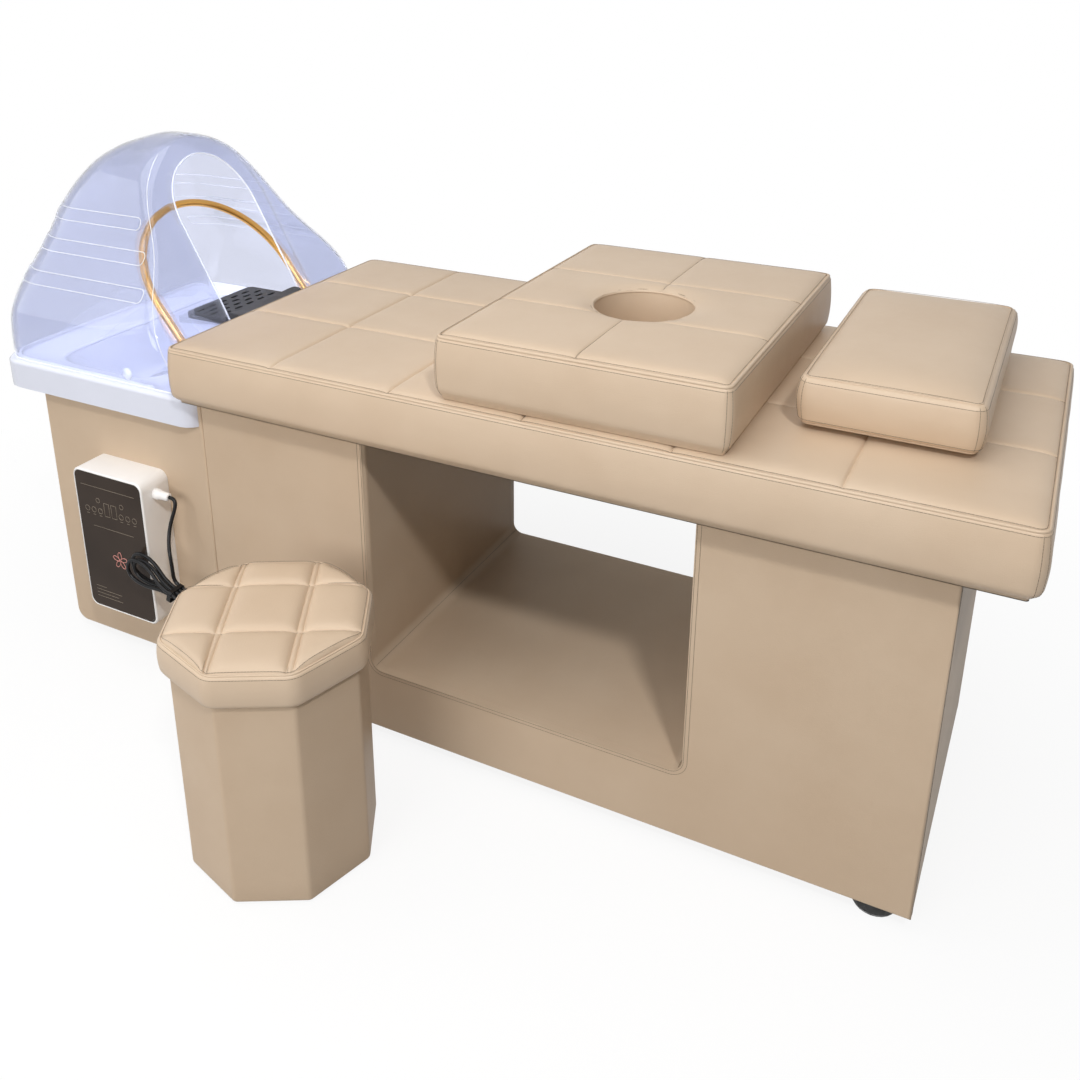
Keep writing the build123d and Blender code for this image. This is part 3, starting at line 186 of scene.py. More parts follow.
def joined(name, meshes, material):
    work = bmesh.new()
    for mesh in meshes:
        work.from_mesh(mesh)
    whole = bpy.data.meshes.new("mesh")
    work.to_mesh(whole)
    work.free()
    shadeSmooth(whole)
    return addObject(name, whole, material)


# shader and geometry nodes

def feed(tree, node, inputs):
    # each input takes a value, a socket, or the first output of another node
    for key, value in inputs.items():
        source = value.outputs[0] if isinstance(value, bpy.types.Node) else value
        if isinstance(source, bpy.types.NodeSocket):
            tree.links.new(source, node.inputs[key])
        else:
            node.inputs[key].default_value = source


def addNode(tree, kind, inputs=None, **options):
    node = tree.nodes.new(kind)
    for key, value in options.items():
        setattr(node, key, value)
    feed(tree, node, inputs or {})
    return node


def mathNode(tree, operation, first, second):
    return addNode(tree, "ShaderNodeMath", {0: first, 1: second}, operation=operation)


# camera and light

cameraSet = {"place": (0.99539, -1.59930, 1.51652), "pitch": 70.146, "roll": -0.262, "yaw": 27.752,
             "lens": 37.1143, "shiftX": 0.03068, "shiftY": -0.18567}


def makeCamera(spec):
    data = bpy.data.cameras.new("camera")
    data.lens, data.sensor_width = spec["lens"], 36
    data.shift_x, data.shift_y = spec["shiftX"], spec["shiftY"]
    camera = bpy.data.objects.new("camera", data)
    turn = Matrix.Identity(4)
    for key, axis in (("yaw", "Z"), ("pitch", "X"), ("roll", "Z")):
        turn = turn @ Matrix.Rotation(radians(spec[key]), 4, axis)
    camera.matrix_world = Matrix.Translation(spec["place"]) @ turn
    scene.collection.objects.link(camera)
    scene.camera = camera


lightSet = {
    "ceiling": {"place": (-0.3, -0.5, 3.4), "aim": (0.0, 0.0, 0.4), "size": (3.6, 2.8), "watts": 50},
    "key": {"place": (2.27, -2.54, 4.15), "aim": (0.27, 0.06, 0.4), "size": (0.35, 0.35), "watts": 78},
    "front": {"place": (-0.5, -3.8, 2.1), "aim": (0.0, -0.1, 0.4), "size": (2.6, 2.0), "watts": 72},
    "left": {"place": (-3.2, -1.4, 1.9), "aim": (-0.4, 0.0, 0.6), "size": (2.0, 2.4), "watts": 14},
}


def makeLights(spec):
    for name, lamp in spec.items():
        data = bpy.data.lights.new(name, "AREA")
        data.shape, data.energy = "RECTANGLE", lamp["watts"]
        data.size, data.size_y = lamp["size"]
        light = bpy.data.objects.new(name, data)
        aim = (Vector(lamp["aim"]) - Vector(lamp["place"])).to_track_quat("-Z", "Y").to_matrix().to_4x4()
        light.matrix_world = Matrix.Translation(lamp["place"]) @ aim
        scene.collection.objects.link(light)


# world and floor look nearly white, while the light they throw on the part stays low

worldSet = {"left": 0.30, "right": 0.02, "seen": 1.0, "mirrored": 0.75}
floorSet = {"half": 30, "dull": (0.42, 0.41, 0.40), "rough": 0.9, "seen": (0.98, 0.98, 0.98),
            "near": 0.8, "far": 2.1, "nearGlow": 0.87, "farGlow": 1.0}


def seenShare(tree):
    # 1 for what the camera sees, also through clear plastic, and a little less for what shines back
    rays = addNode(tree, "ShaderNodeLightPath").outputs
    mirrored = mathNode(tree, "MULTIPLY", rays["Is Glossy Ray"], worldSet["mirrored"])
    most = mathNode(tree, "MAXIMUM", rays["Is Camera Ray"], mirrored)
    return mathNode(tree, "MAXIMUM", most, rays["Is Transmission Ray"])


def mapRange(tree, value, ends, results):
    return addNode(tree, "ShaderNodeMapRange", {"Value": value, "From Min": ends[0], "From Max": ends[1],
                                                "To Min": results[0], "To Max": results[1]})


def makeWorld(spec):
    world = bpy.data.worlds.new("studio")
    world.use_nodes = True
    scene.world = world
    tree = world.node_tree
    parts = addNode(tree, "ShaderNodeSeparateXYZ",
                    {0: addNode(tree, "ShaderNodeTexCoord").outputs["Generated"]})
    soft = mapRange(tree, parts.outputs["X"], (-1.0, 1.0), (spec["left"], spec["right"]))
    strength = mapRange(tree, seenShare(tree), (0.0, 1.0), (soft, spec["seen"]))
    feed(tree, tree.nodes["Background"], {"Strength": strength, "Color": (1, 1, 1, 1)})


def makeFloor(spec):
    far = spec["half"]
    mesh = meshFrom([(-far, -far, 0), (far, -far, 0), (far, far, 0), (-far, far, 0)], [(0, 1, 2, 3)])
    material = bpy.data.materials.new("paleFloor")
    material.use_nodes = True
    tree = material.node_tree
    dull = tree.nodes["Principled BSDF"]
    feed(tree, dull, {"Base Color": (*spec["dull"], 1), "Roughness": spec["rough"]})
    seen = addNode(tree, "ShaderNodeBsdfDiffuse", {"Color": (*spec["seen"], 1)})
    reach = addNode(tree, "ShaderNodeVectorMath", {0: addNode(tree, "ShaderNodeTexCoord").outputs["Object"]},
                    operation="LENGTH")
    fade = mapRange(tree, reach.outputs["Value"], (spec["near"], spec["far"]), (spec["nearGlow"], spec["farGlow"]))
    pale = addNode(tree, "ShaderNodeMixShader", {0: fade, 1: seen, 2: addNode(tree, "ShaderNodeEmission")})
    mix = addNode(tree, "ShaderNodeMixShader", {0: seenShare(tree), 1: dull, 2: pale})
    feed(tree, tree.nodes["Material Output"], {"Surface": mix})
    addObject("floor", mesh, material)


makeCamera(cameraSet)
makeLights(lightSet)
makeWorld(worldSet)
makeFloor(floorSet)
scene.view_settings.view_transform = "Standard"
print("camera and light are set")


# materials, kept by name

looks = {}


def noiseNode(tree, scale, detail, kind="Noise", distortion=None):
    inputs = {"Vector": addNode(tree, "ShaderNodeTexCoord").outputs["Object"], "Scale": scale, "Detail": detail}
    if distortion:
        inputs["Distortion"] = distortion
    return addNode(tree, "ShaderNodeTex" + kind, inputs)


def surface(name, color, rough, shades=None, mottle=(), ramp=(0.3, 0.7), swing=None, bumps=(), **sockets):
    # shades: darkest and lightest colour, spread by the mottle noise
    # swing: the noise of the roughness, its lowest and its highest value; bumps: noise and height in metres
    looks[name] = material = bpy.data.materials.new(name)
    material.use_nodes = True
    tree = material.node_tree
    inputs = {"Base Color": (*color, 1), "Roughness": rough}
    inputs.update({key.replace("_", " "): value for key, value in sockets.items()})
    if shades:
        paint = addNode(tree, "ShaderNodeValToRGB", {0: noiseNode(tree, *mottle)})
        for stop, place, shade in zip(paint.color_ramp.elements, ramp, shades):
            stop.position, stop.color = place, (*shade, 1)
    shader = tree.nodes["Principled BSDF"]
    feed(tree, shader, inputs)
    if shades:
        feed(tree, shader, {"Base Color": paint})
    if swing:
        feed(tree, shader, {"Roughness": mapRange(tree, noiseNode(tree, *swing[0]), (0.0, 1.0), swing[1:])})
    for source, height in bumps:
        bump = addNode(tree, "ShaderNodeBump", {"Distance": height, "Strength": 1.0,
                                                "Height": noiseNode(tree, *source)})
        before = shader.inputs["Normal"].links
        if before:
            feed(tree, bump, {"Normal": before[0].from_socket})
        feed(tree, shader, {"Normal": bump})


def shaded(color, share):
    return tuple(c * share for c in color)


leatherSet = {"light": (0.650, 0.505, 0.366), "dark": (0.615, 0.468, 0.332), "mottle": (7, 4),
              "swing": ((55, 3), 0.36, 0.48), "rough": 0.46, "coatRough": 0.34,
              "bumps": (((34, 3), 0.0005), ((620, 2.0, "Voronoi"), 0.00014))}


def leather(name, spec, shade, gloss):
    light, dark = shaded(spec["light"], shade), shaded(spec["dark"], shade)
    surface(name, light, spec["rough"], (dark, light), spec["mottle"], swing=spec["swing"], bumps=spec["bumps"],
            Specular_IOR_Level=gloss, Coat_Weight=gloss / 5, Coat_Roughness=spec["coatRough"])


def plastic(name, color, rough, grain, scale, **sockets):
    surface(name, color, rough, (shaded(color, 0.975), color), (9, 3), swing=((40, 3), rough * 0.9, rough * 1.12),
            bumps=(((scale, 2), grain),), **sockets)


def metal(name, color, rough, brushed=0.0):
    surface(name, color, rough, (shaded(color, 0.93), color), (14, 3), swing=((60, 4), rough * 0.8, rough * 1.3),
            bumps=(((900, 2), brushed),) if brushed else (), Metallic=1.0)


leather("coverLeather", leatherSet, 1.0, 0.42)
leather("panelLeather", leatherSet, 0.96, 0.12)
surface("threadBeige", (0.40, 0.32, 0.24), 0.7, ((0.34, 0.27, 0.20), (0.46, 0.37, 0.28)), (900, 1))
# dark colour of painted shade for the seams' grooves
surface("seamShade", (0.20, 0.155, 0.115), 0.8, ((0.17, 0.13, 0.095), (0.23, 0.18, 0.135)), (60, 2))
plastic("basinWhite", (0.76, 0.785, 0.89), 0.22, 0.00002, 300, Coat_Weight=0.3, Coat_Roughness=0.08)
plastic("heaterWhite", (0.95, 0.93, 0.91), 0.32, 0.00003, 1400)
plastic("restGrey", (0.035, 0.035, 0.038), 0.55, 0.00008, 1100)
plastic("footBlack", (0.018, 0.018, 0.018), 0.5, 0.00005, 800)
plastic("footGrey", (0.30, 0.30, 0.31), 0.5, 0.00005, 800)
plastic("pipeGrey", (0.62, 0.62, 0.62), 0.45, 0.00003, 500)
plastic("hoseGrey", (0.18, 0.18, 0.185), 0.55, 0.00005, 700)
plastic("circuitGreen", (0.02, 0.16, 0.07), 0.4, 0.00004, 400)
plastic("cordBlack", (0.006, 0.006, 0.007), 0.36, 0.00004, 600, Specular_IOR_Level=0.28)
metal("goldenTube", (0.80, 0.43, 0.11), 0.20)
metal("fittingBrass", (0.74, 0.50, 0.24), 0.30, 0.00003)
metal("steelBright", (0.70, 0.70, 0.71), 0.24, 0.00002)
surface("plywood", (0.55, 0.40, 0.25), 0.65, ((0.50, 0.35, 0.21), (0.62, 0.46, 0.30)), (5, 3, "Wave", 6),
        (0.2, 0.9), bumps=(((120, 4), 0.0002),))
hoodTint = (0.635, 0.668, 0.830)
surface("hoodClear", hoodTint, 0.02, (shaded(hoodTint, 0.97), hoodTint), (6, 2), bumps=(((5, 1), 0.0009),),
        Transmission_Weight=1.0, IOR=1.12, Alpha=0.8, Coat_Weight=0.9, Coat_Roughness=0.02, Coat_IOR=1.5)
# whitish, half clear colour of painted highlight for the tubes on the hood's rib rims, creases, mouth and foot;
# the small clear cup takes it too
surface("hoodHighlight", (0.95, 0.97, 1.0), 0.12, Alpha=0.62, Coat_Weight=0.5)
surface("blackGlass", (0.045, 0.031, 0.024), 0.16, ((0.036, 0.025, 0.019), (0.056, 0.040, 0.031)), (5, 2),
        Specular_IOR_Level=0.10, Coat_Weight=0.03, Coat_Roughness=0.05)
surface("markGold", (0.26, 0.21, 0.155), 0.5)
surface("markRose", (0.72, 0.30, 0.26), 0.5)

# the nodes of each look, and the slot of the looks that have smooth copies
finishSet = {
    "plywood": "mattress_board base_head_board base_bottom corner_battens stool_seat_board",
    "panelLeather": "front_panel rear_panel tunnel_lining foot_end_panel cabinet_front cabinet_rear "
                    "cabinet_wrap stool_body",
    "footBlack": "feet stool_glides", "footGrey": "foot_rims",
    "basinWhite": "basin basin_bowl arch_sockets headrest_cradle",
    "steelBright": "drain_flange drain_strainer heater_wall_plate heating_tank",
    "pipeGrey": "drain_nut waste_trap waste_pipe", "hoseGrey": "feed_hose spray_hose",
    "fittingBrass": "water_inlet socket_nuts heater_shanks heater_outlet plug_pins",
    "goldenTube": "spray_arch", "restGrey": "headrest_pad", "hoodClear": "hood",
    "heaterWhite": "heater_body heater_gland", "blackGlass": "heater_glass",
    "circuitGreen": "control_board", "cordBlack": "hank_tie plug_body",
}
slotSet = {"panelLeather": "leather", "footBlack": "foot_black", "footGrey": "foot_grey",
           "basinWhite": "basin_white", "steelBright": "steel", "pipeGrey": "pipe_white",
           "fittingBrass": "fitting_brass", "restGrey": "rest_grey", "heaterWhite": "heater_white",
           "blackGlass": "heater_glass", "cordBlack": "cord_black"}
finishes = {node: look for look, users in finishSet.items() for node in users.split()}
for node, look in finishes.items():
    nodes[node].data.materials.clear()
    nodes[node].data.materials.append(looks[look])
print("materials are set")


# mains cord: one spline from the gland to the plug

cordSet = {
    "diameter": 0.0076, "gland": (-0.046, -0.340, 0.450),
    "drop": ((0, 0, 0), (0.010, 0, 0), (0.0175, -0.002, -0.007), (0.0175, -0.006, -0.020),
             (0.0135, -0.013, -0.040), (0.012, -0.021, -0.060), (0.017, -0.031, -0.077),
             (0.026, -0.0415, -0.091), (0.034, -0.0485, -0.102)),
    "tail": ((0, 0, -0.020), (0.003, -0.003, -0.042), (0.003, -0.003, -0.064), (0, -0.001, -0.086),
             (0, -0.001, -0.104)),
    "middle": (0.008, -0.391, 0.278), "turns": 3, "pitch": 0.0096, "half": 0.103, "lobe": 0.027,
    "waist": 0.007, "slope": 16.0, "bend": 0.024, "lead": 0.014, "leave": 0.044, "corner": 0.26,
    "halfShares": (1.0, 0.90, 0.96), "lobeShares": (1.0, 0.84, 0.93), "length": 2.05,
}


def cordPoints(spec):
    slope = radians(spec["slope"])
    along = Vector((cos(slope), 0, -sin(slope)))
    rise = Vector((sin(slope), 0, cos(slope)))
    out, down = Vector((0, -1, 0)), Vector((0, 0, -1))
    turn = down.angle(along)
    gland = at(*spec["gland"])
    points = [gland + Vector(p) for p in spec["drop"]]
    middle, waist = at(*spec["middle"]), spec["waist"]
    top = middle + rise * waist
    bendIn = spec["bend"] * tan(turn / 2)
    start = top - (down + along) * bendIn - down * spec["lead"]
    quarter = spec["bend"] * tan(turn / 4)
    points += [start, start + down * (spec["lead"] + quarter), top - along * quarter]
    slant, corner = tan(pi / 8), spec["corner"]
    for number, (halfShare, lobeShare) in enumerate(zip(spec["halfShares"], spec["lobeShares"])):
        here = middle + out * spec["pitch"] * number
        reach, lobe = spec["half"] * halfShare, spec["lobe"] * lobeShare
        # a quarter of the figure of eight, then its three mirror images
        part = [(corner * reach, waist), ((1 - corner) * reach, lobe),
                (reach + slant * lobe, lobe), (reach + lobe, slant * lobe)]
        loop = part + [(u, -v) for u, v in reversed(part)]
        loop += [(-u, -v) for u, v in part] + [(-u, v) for u, v in reversed(part)]
        points += [here + along * u + rise * v for u, v in loop]
        points[-1] += out * spec["pitch"]
    last = top + out * spec["pitch"] * spec["turns"]
    quarter = spec["leave"] * tan(turn / 4)
    bendOut = spec["leave"] * tan(turn / 2)
    end = last + (down + along) * bendOut + down * spec["lead"]
    points += [last + along * quarter, end - down * (spec["lead"] + quarter), end]
    return points + [end + Vector(p) for p in spec["tail"]]


def makeCord(spec):
    points = cordPoints(spec)
    data = bpy.data.curves.new("mainsCord", "CURVE")
    data.dimensions = "3D"
    spline = data.splines.new("NURBS")
    spline.points.add(len(points) - 1)
    for knot, p in zip(spline.points, points):
        knot.co = (*p, 1)
    spline.order_u, spline.use_endpoint_u, spline.resolution_u = 3, True, 8
    data.bevel_depth, data.bevel_resolution = spec["diameter"] / 2, 3
    data.use_fill_caps = True
    data.materials.append(looks["cordBlack"])
    cord = bpy.data.objects.new("mainsCord", data)
    scene.collection.objects.link(cord)
    finishPiece(cord, "bed", "cord_black", "cord_drop", "cord_hank", "cord_tail")


makeCord(cordSet)
print("cord is made")


# soft goods: a grid top that lines up with its seams, swollen sides and a closed underside

nearSteps = (0.0, 0.0015, 0.0035, 0.006, 0.010, 0.016, 0.024, 0.036, 0.052, 0.072, 0.095, 0.125, 0.16, 0.2)
stoolPlace, stoolTurn, seatAcross = (0.412, -0.591), 6.6, 0.180  # its middle, degrees, half over the corners
seatFlat = seatAcross * cos(pi / 8)


def gridLines(stops):
    lines = []
    for low, high in zip(stops, stops[1:]):
        half = (high - low) / 2
        near = [d for d in nearSteps if d < half * 0.93]
        lines += [low + d for d in near] + [(low + high) / 2] + [high - d for d in reversed(near[1:])]
    return lines + [stops[-1]]


def roundCorner(spec, x, y):
    # the square corners of the grid are pressed into round ones
    (hx, hy), r = spec["half"], spec["corner"]
    u, v = (abs(x) - (hx - r)) / r, (abs(y) - (hy - r)) / r
    if u <= 0 or v <= 0:
        return x, y
    a, b = u * sqrt(1 - v * v / 2), v * sqrt(1 - u * u / 2)
    return copysign(hx - r + a * r, x), copysign(hy - r + b * r, y)


def cutCorner(spec, x, y):
    # the square corners of the grid are pressed onto the slants of an octagon with soft corners
    flat = spec["half"][0]
    line = flat * tan(pi / 8)
    span = flat - line
    u, v = (abs(x) - line) / span, (abs(y) - line) / span
    if u > 0 and v > 0:
        x, y = copysign(line + span * u * (1 - v / 2), x), copysign(line + span * v * (1 - u / 2), y)
    reach = hypot(x, y)
    if reach < 1e-6:
        return x, y
    turn = atan2(y, x) % (pi / 4) - pi / 8  # zero at a corner of the octagon
    corner, sharp = spec["corner"], flat / cos(pi / 8)
    ball = sharp - corner / cos(pi / 8)
    edge = flat / cos(pi / 8 - abs(turn))
    curved = ball * cos(turn) + sqrt(max(corner ** 2 - (ball * sin(turn)) ** 2, 0))
    tangent = atan2(corner * sin(pi / 8), ball + corner * cos(pi / 8))
    soft = curved if abs(turn) < tangent else edge
    share = (reach / edge) ** 6
    return x * (1 - share + share * soft / edge), y * (1 - share + share * soft / edge)


padCommon = {
    "belly": 0, "turn": 0.0, "corners": roundCorner, "cornerLines": True, "fill": 0.95, "width": 0.006,
    "valley": 0.0, "groove": 0.0, "grooveWide": 0.0018, "pucker": 0.0003, "seamStop": 0.006, "seamsX": (),
    "seamsY": (), "broad": (9, 0.6), "fine": (31, 0.4), "fold": (14, 22, 1.3), "puckers": (330, 3, 20),
}
padSets = {
    "mattress": {
        "node": "mattress_pad", "body": "bed", "middle": (0.7665, 0.0), "half": (0.7685, 0.350), "corner": 0.018,
        "shoulder": 0.0035, "low": 0.670, "high": 0.7815, "crown": 0.0095, "bulge": 0.006, "edge": 0.014,
        "soft": 0.010, "valley": 0.42, "groove": 0.0013, "wrinkle": 0.0006, "rounds": 20, "seed": 1.0,
        "seamsX": (-0.5225, -0.2667, -0.0108, 0.2450, 0.5010), "seamsY": (-0.097, 0.139),
        "piping": (0.0002, 0.0029), "rimLine": 0.0022, "sideLines": (0.046,)},
    "faceCushion": {
        "node": "face_cushion", "body": "loose_cushion", "middle": (0.846, -0.015), "half": (0.251, 0.326),
        "corner": 0.014, "shoulder": 0.0040, "low": 0.7905, "high": 0.9008, "crown": 0.0100, "bulge": 0.0055,
        "edge": 0.008, "soft": 0.009, "valley": 0.22, "groove": 0.0008, "wrinkle": 0.0007, "rounds": 18,
        "seed": 5.0, "seamsX": (0.0,), "seamsY": (-0.1087, 0.1087), "hole": (0.0, -0.024, 0.090),
        "holeSoft": 0.008, "seamStop": 0.007, "piping": (0.0004, 0.0033), "rimLine": 0.0022,
        "sideLines": (0.050,)},
    "pillow": {
        "node": "pillow", "body": "loose_pillow", "middle": (1.294, 0.070), "half": (0.134, 0.260),
        "corner": 0.018, "shoulder": 0.0070, "low": 0.8033, "high": 0.8793, "crown": 0.0150, "belly": 0.0128,
        "bulge": 0.006, "edge": 0.0, "soft": 0.030, "width": 0.01, "wrinkle": 0.0010, "pucker": 0.0,
        "rounds": 18, "seed": 9.0, "fill": 0.9, "piping": (0.0002, 0.0012), "rimLine": 0.0006,
        "sideLines": (0.090, 0.910)},
    "stoolSeat": {
        "node": "stool_seat", "body": "loose_stool", "middle": stoolPlace, "half": (seatFlat, seatFlat),
        "corner": 0.036, "shoulder": 0.0038, "low": 0.397, "high": 0.461, "crown": 0.0125, "bulge": 0.0045,
        "edge": 0.009, "soft": 0.012, "valley": 0.60, "width": 0.008, "groove": 0.0010, "wrinkle": 0.0004,
        "pucker": 0.0002, "rounds": 14, "turn": radians(stoolTurn + 22.5), "seed": 13.0, "corners": cutCorner,
        "seamsX": (-0.0765, -0.0665, 0.0575, 0.0675), "seamsY": (-0.0560, 0.0850), "piping": (0.0002, 0.0018),
        "seamStop": 0.010, "rimLine": 0.0026, "sideLines": (0.080,), "cornerLines": False},
}
# seam: radius of the thin dark tube of painted shade in each seam's groove
threadSet = {"pitch": 0.0050, "long": 0.0033, "thick": 0.00042, "seam": 0.00036, "lift": 0.0001}
holeSet = {"turns": 96, "steps": 14, "swell": 0.003, "past": 0.01, "rest": 0.02, "pipe": 0.0026, "line": 0.0045}


def seamGaps(spec, x, y):
    return [abs(x - seam) for seam in spec["seamsX"]] + [abs(y - seam) for seam in spec["seamsY"]]


def seamFade(spec, gaps):
    # 1 in the middle of a panel, less in the valley of a seam
    return prod(1 - spec["valley"] * exp(-gap / spec["width"]) for gap in gaps)


def seamGroove(spec, gaps):
    return spec["groove"] * max((exp(-(gap / spec["grooveWide"]) ** 2) for gap in gaps), default=0.0)


def edgeRise(spec, x, y):
    (hx, hy), soft = spec["half"], spec["soft"]
    rise = (1 - exp(-(hx - abs(x)) / soft)) * (1 - exp(-(hy - abs(y)) / soft))
    if "hole" in spec:
        cx, cy, radius = spec["hole"]
        rise *= 1 - exp(-max(hypot(x - cx, y - cy) - radius, 0) / spec["holeSoft"])
    return rise


def topHeight(spec, x, y, crown):
    # broad and fine waves in the leather, and puckers across the seams
    seed, gaps = spec["seed"], seamGaps(spec, x, y)
    (broad, most), (fine, less), (pitch, stray, loose) = spec["broad"], spec["fine"], spec["puckers"]
    rise, fade = edgeRise(spec, x, y), seamFade(spec, gaps)
    wave = noise.noise(Vector((x * broad + seed, y * broad, crown * 40))) * most
    wave += noise.noise(Vector((x * fine, y * fine + seed, 2.0))) * less
    pucker = sin((x + y) * pitch + stray * noise.noise(Vector((x * loose, y * loose, seed)))) * (1 - fade)
    return crown * rise * fade - seamGroove(spec, gaps) + rise * (wave * spec["wrinkle"] + pucker * spec["pucker"])


def gridOf(spec):
    # the lines of the grid, and its boundary as (x, y, outward x, outward y), counterclockwise
    hx, hy = spec["half"]
    xs, ys = gridLines([-hx, *spec["seamsX"], hx]), gridLines([-hy, *spec["seamsY"], hy])
    loop = [(x, -hy) for x in xs[:-1]] + [(hx, y) for y in ys[:-1]]
    loop += [(x, hy) for x in reversed(xs[1:])] + [(-hx, y) for y in reversed(ys[1:])]
    spots = [spec["corners"](spec, x, y) for x, y in loop]
    outline = []
    for i, (x, y) in enumerate(spots):
        before, after = spots[i - 1], spots[(i + 1) % len(spots)]
        dx, dy = after[0] - before[0], after[1] - before[1]
        size = hypot(dx, dy)
        outline.append((x, y, dy / size, -dx / size))
    return xs, ys, outline


def shoulderShare(spec):
    return spec["shoulder"] * 1.3 / (spec["high"] - spec["low"])


def sideOffset(spec, t):
    swell = spec["bulge"] * sin(pi * min(t * 1.04, 1)) ** 0.75
    share = shoulderShare(spec)
    near = min(t, 1 - t) if spec["belly"] else t
    shy = 1 - sqrt(1 - (1 - near / share) ** 2) if near < share else 0.0
    return swell - spec["edge"] * smoothStep(0.80, 1.0, t) ** 1.5 - spec["shoulder"] * shy


def sideShares(spec):
    # rows down the side, closer together round the shoulders
    share, rounds = shoulderShare(spec), spec["rounds"]
    turn = [share * (1 - cos(pi / 2 * k / 5)) for k in range(1, 6)]
    last = 1 - share if spec["belly"] else 1
    rows = turn + [share + (last - share) * k / rounds for k in range(1, rounds + 1)]
    return rows + [1 - t for t in reversed(turn[:-1])] + [1.0] if spec["belly"] else rows


def padSpot(spec, x, y, z):
    (mx, my), turn = spec["middle"], spec["turn"]
    return at(mx + x * cos(turn) - y * sin(turn), my + x * sin(turn) + y * cos(turn), z)


def topSpot(spec, x, y, lift):
    return padSpot(spec, x, y, spec["high"] + topHeight(spec, x, y, spec["crown"]) + lift)


def moved(spot, push):
    x, y, ox, oy = spot
    return x + ox * push, y + oy * push


def sideSpot(spec, spot, t, lift=0.0):
    # a point of the swollen side, t from the upper edge down
    x, y, *_ = spot
    z = spec["high"] + (spec["low"] - spec["high"]) * t
    flat, tall, most = spec["fold"]
    fold = noise.noise(Vector((x * flat + spec["seed"], y * flat, z * tall))) * spec["wrinkle"] * most
    push = sideOffset(spec, t) + fold * sin(pi * t) + lift
    return padSpot(spec, *moved(spot, push), z)


def padMesh(spec):
    xs, ys, outline = gridOf(spec)
    verts, faces = [], []

    def add(points):
        verts.extend(points)
        return list(range(len(verts) - len(points), len(verts)))

    def cap(z, crown, sign):
        # the top or the belly, drawn in by the shoulder; gives back its boundary
        draw = [1 - spec["shoulder"] / h for h in spec["half"]]
        rows = []
        for y in ys:
            spots = [spec["corners"](spec, x, y) for x in xs]
            rows.append(add([padSpot(spec, px * draw[0], py * draw[1], z + sign * topHeight(spec, x, y, crown))
                             for x, (px, py) in zip(xs, spots)]))
        for low, high in zip(rows, rows[1:]):
            for i in range(len(xs) - 1):
                faces.append((low[i], low[i + 1], high[i + 1], high[i])[::sign])
        return rows[0][:-1] + [r[-1] for r in rows[:-1]] + rows[-1][:0:-1] + [r[0] for r in rows[:0:-1]]

    def band(upper, lower):
        count = len(upper)
        faces.extend((upper[i], lower[i], lower[(i + 1) % count], upper[(i + 1) % count]) for i in range(count))
        return lower

    ring = cap(spec["high"], spec["crown"], 1)
    lowest = cap(spec["low"], spec["belly"], -1) if spec["belly"] else None
    for t in sideShares(spec):
        ring = band(ring, lowest if t == 1 and lowest else add([sideSpot(spec, spot, t) for spot in outline]))
    if not lowest:
        inset = min(spec["edge"] + 0.012, spec["corner"] * 0.7)
        inner = add([padSpot(spec, *moved(spot, -inset), spec["low"]) for spot in outline])
        faces.append(tuple(band(ring, inner)[::-1]))
    mesh = tidyMesh(meshFrom(verts, faces), mergeSoft)
    mesh.set_sharp_from_angle(angle=radians(70))
    return mesh


def pipingLoop(spec, z, radius, push):
    points = [padSpot(spec, *moved(spot, push - spec["shoulder"]), z) for spot in gridOf(spec)[2]]
    return tube(thinned(points, radius * 1.5), radius, closed=True, sides=12)


def closedLine(points):
    points = thinned(points, 0.004)
    return points + points[:1]


def seamLines(spec):
    # the seams between the panels, kept out of the edge and the hole
    hx, hy = spec["half"]
    cx, cy, radius = spec.get("hole", (0, 0, -1))
    lines = []
    for across, seams, half in ((False, spec["seamsX"], hy), (True, spec["seamsY"], hx)):
        for seam in seams:
            reach = half - spec["seamStop"]
            count = max(int(reach / 0.005), 2)
            parts = [[]]
            for k in range(-count, count + 1):
                x, y = (k / count * reach, seam) if across else (seam, k / count * reach)
                if hypot(x - cx, y - cy) < radius + 0.006:
                    parts.append([])
                else:
                    parts[-1].append(topSpot(spec, *spec["corners"](spec, x, y), threadSet["lift"] * 2))
            lines += [part for part in parts if len(part) > 1]
    return lines


def cornerLines(spec, share=0.3):
    # a pair of lines down each rounded corner
    (hx, hy), r = spec["half"], spec["corner"]
    lines = []
    for sx, sy in ((-1, -1), (-1, 1), (1, -1), (1, 1)):
        for u, v in ((1 - share, 1), (1, 1 - share)):
            a, b = u * sqrt(1 - v * v / 2), v * sqrt(1 - u * u / 2)
            spot = (sx * (hx - r + a * r), sy * (hy - r + b * r), sx * a, sy * b)
            lines.append([sideSpot(spec, spot, 0.04 + 0.90 * k / 24, threadSet["lift"]) for k in range(25)])
    return lines


def padLines(spec):
    lift, inset = threadSet["lift"], spec["rimLine"] + spec["shoulder"]
    outline = gridOf(spec)[2]
    lines = seamLines(spec)
    lines.append(closedLine([topSpot(spec, *moved(spot, -inset), lift) for spot in outline]))
    lines += [closedLine([sideSpot(spec, spot, t, lift) for spot in outline]) for t in spec["sideLines"]]
    if spec["cornerLines"]:
        lines += cornerLines(spec)
    if "hole" in spec:
        cx, cy, radius = spec["hole"]
        ring = circle(cx, cy, radius + holeSet["line"], 120)
        lines.append([topSpot(spec, x, y, lift) for x, y in ring + ring[:1]])
    return lines


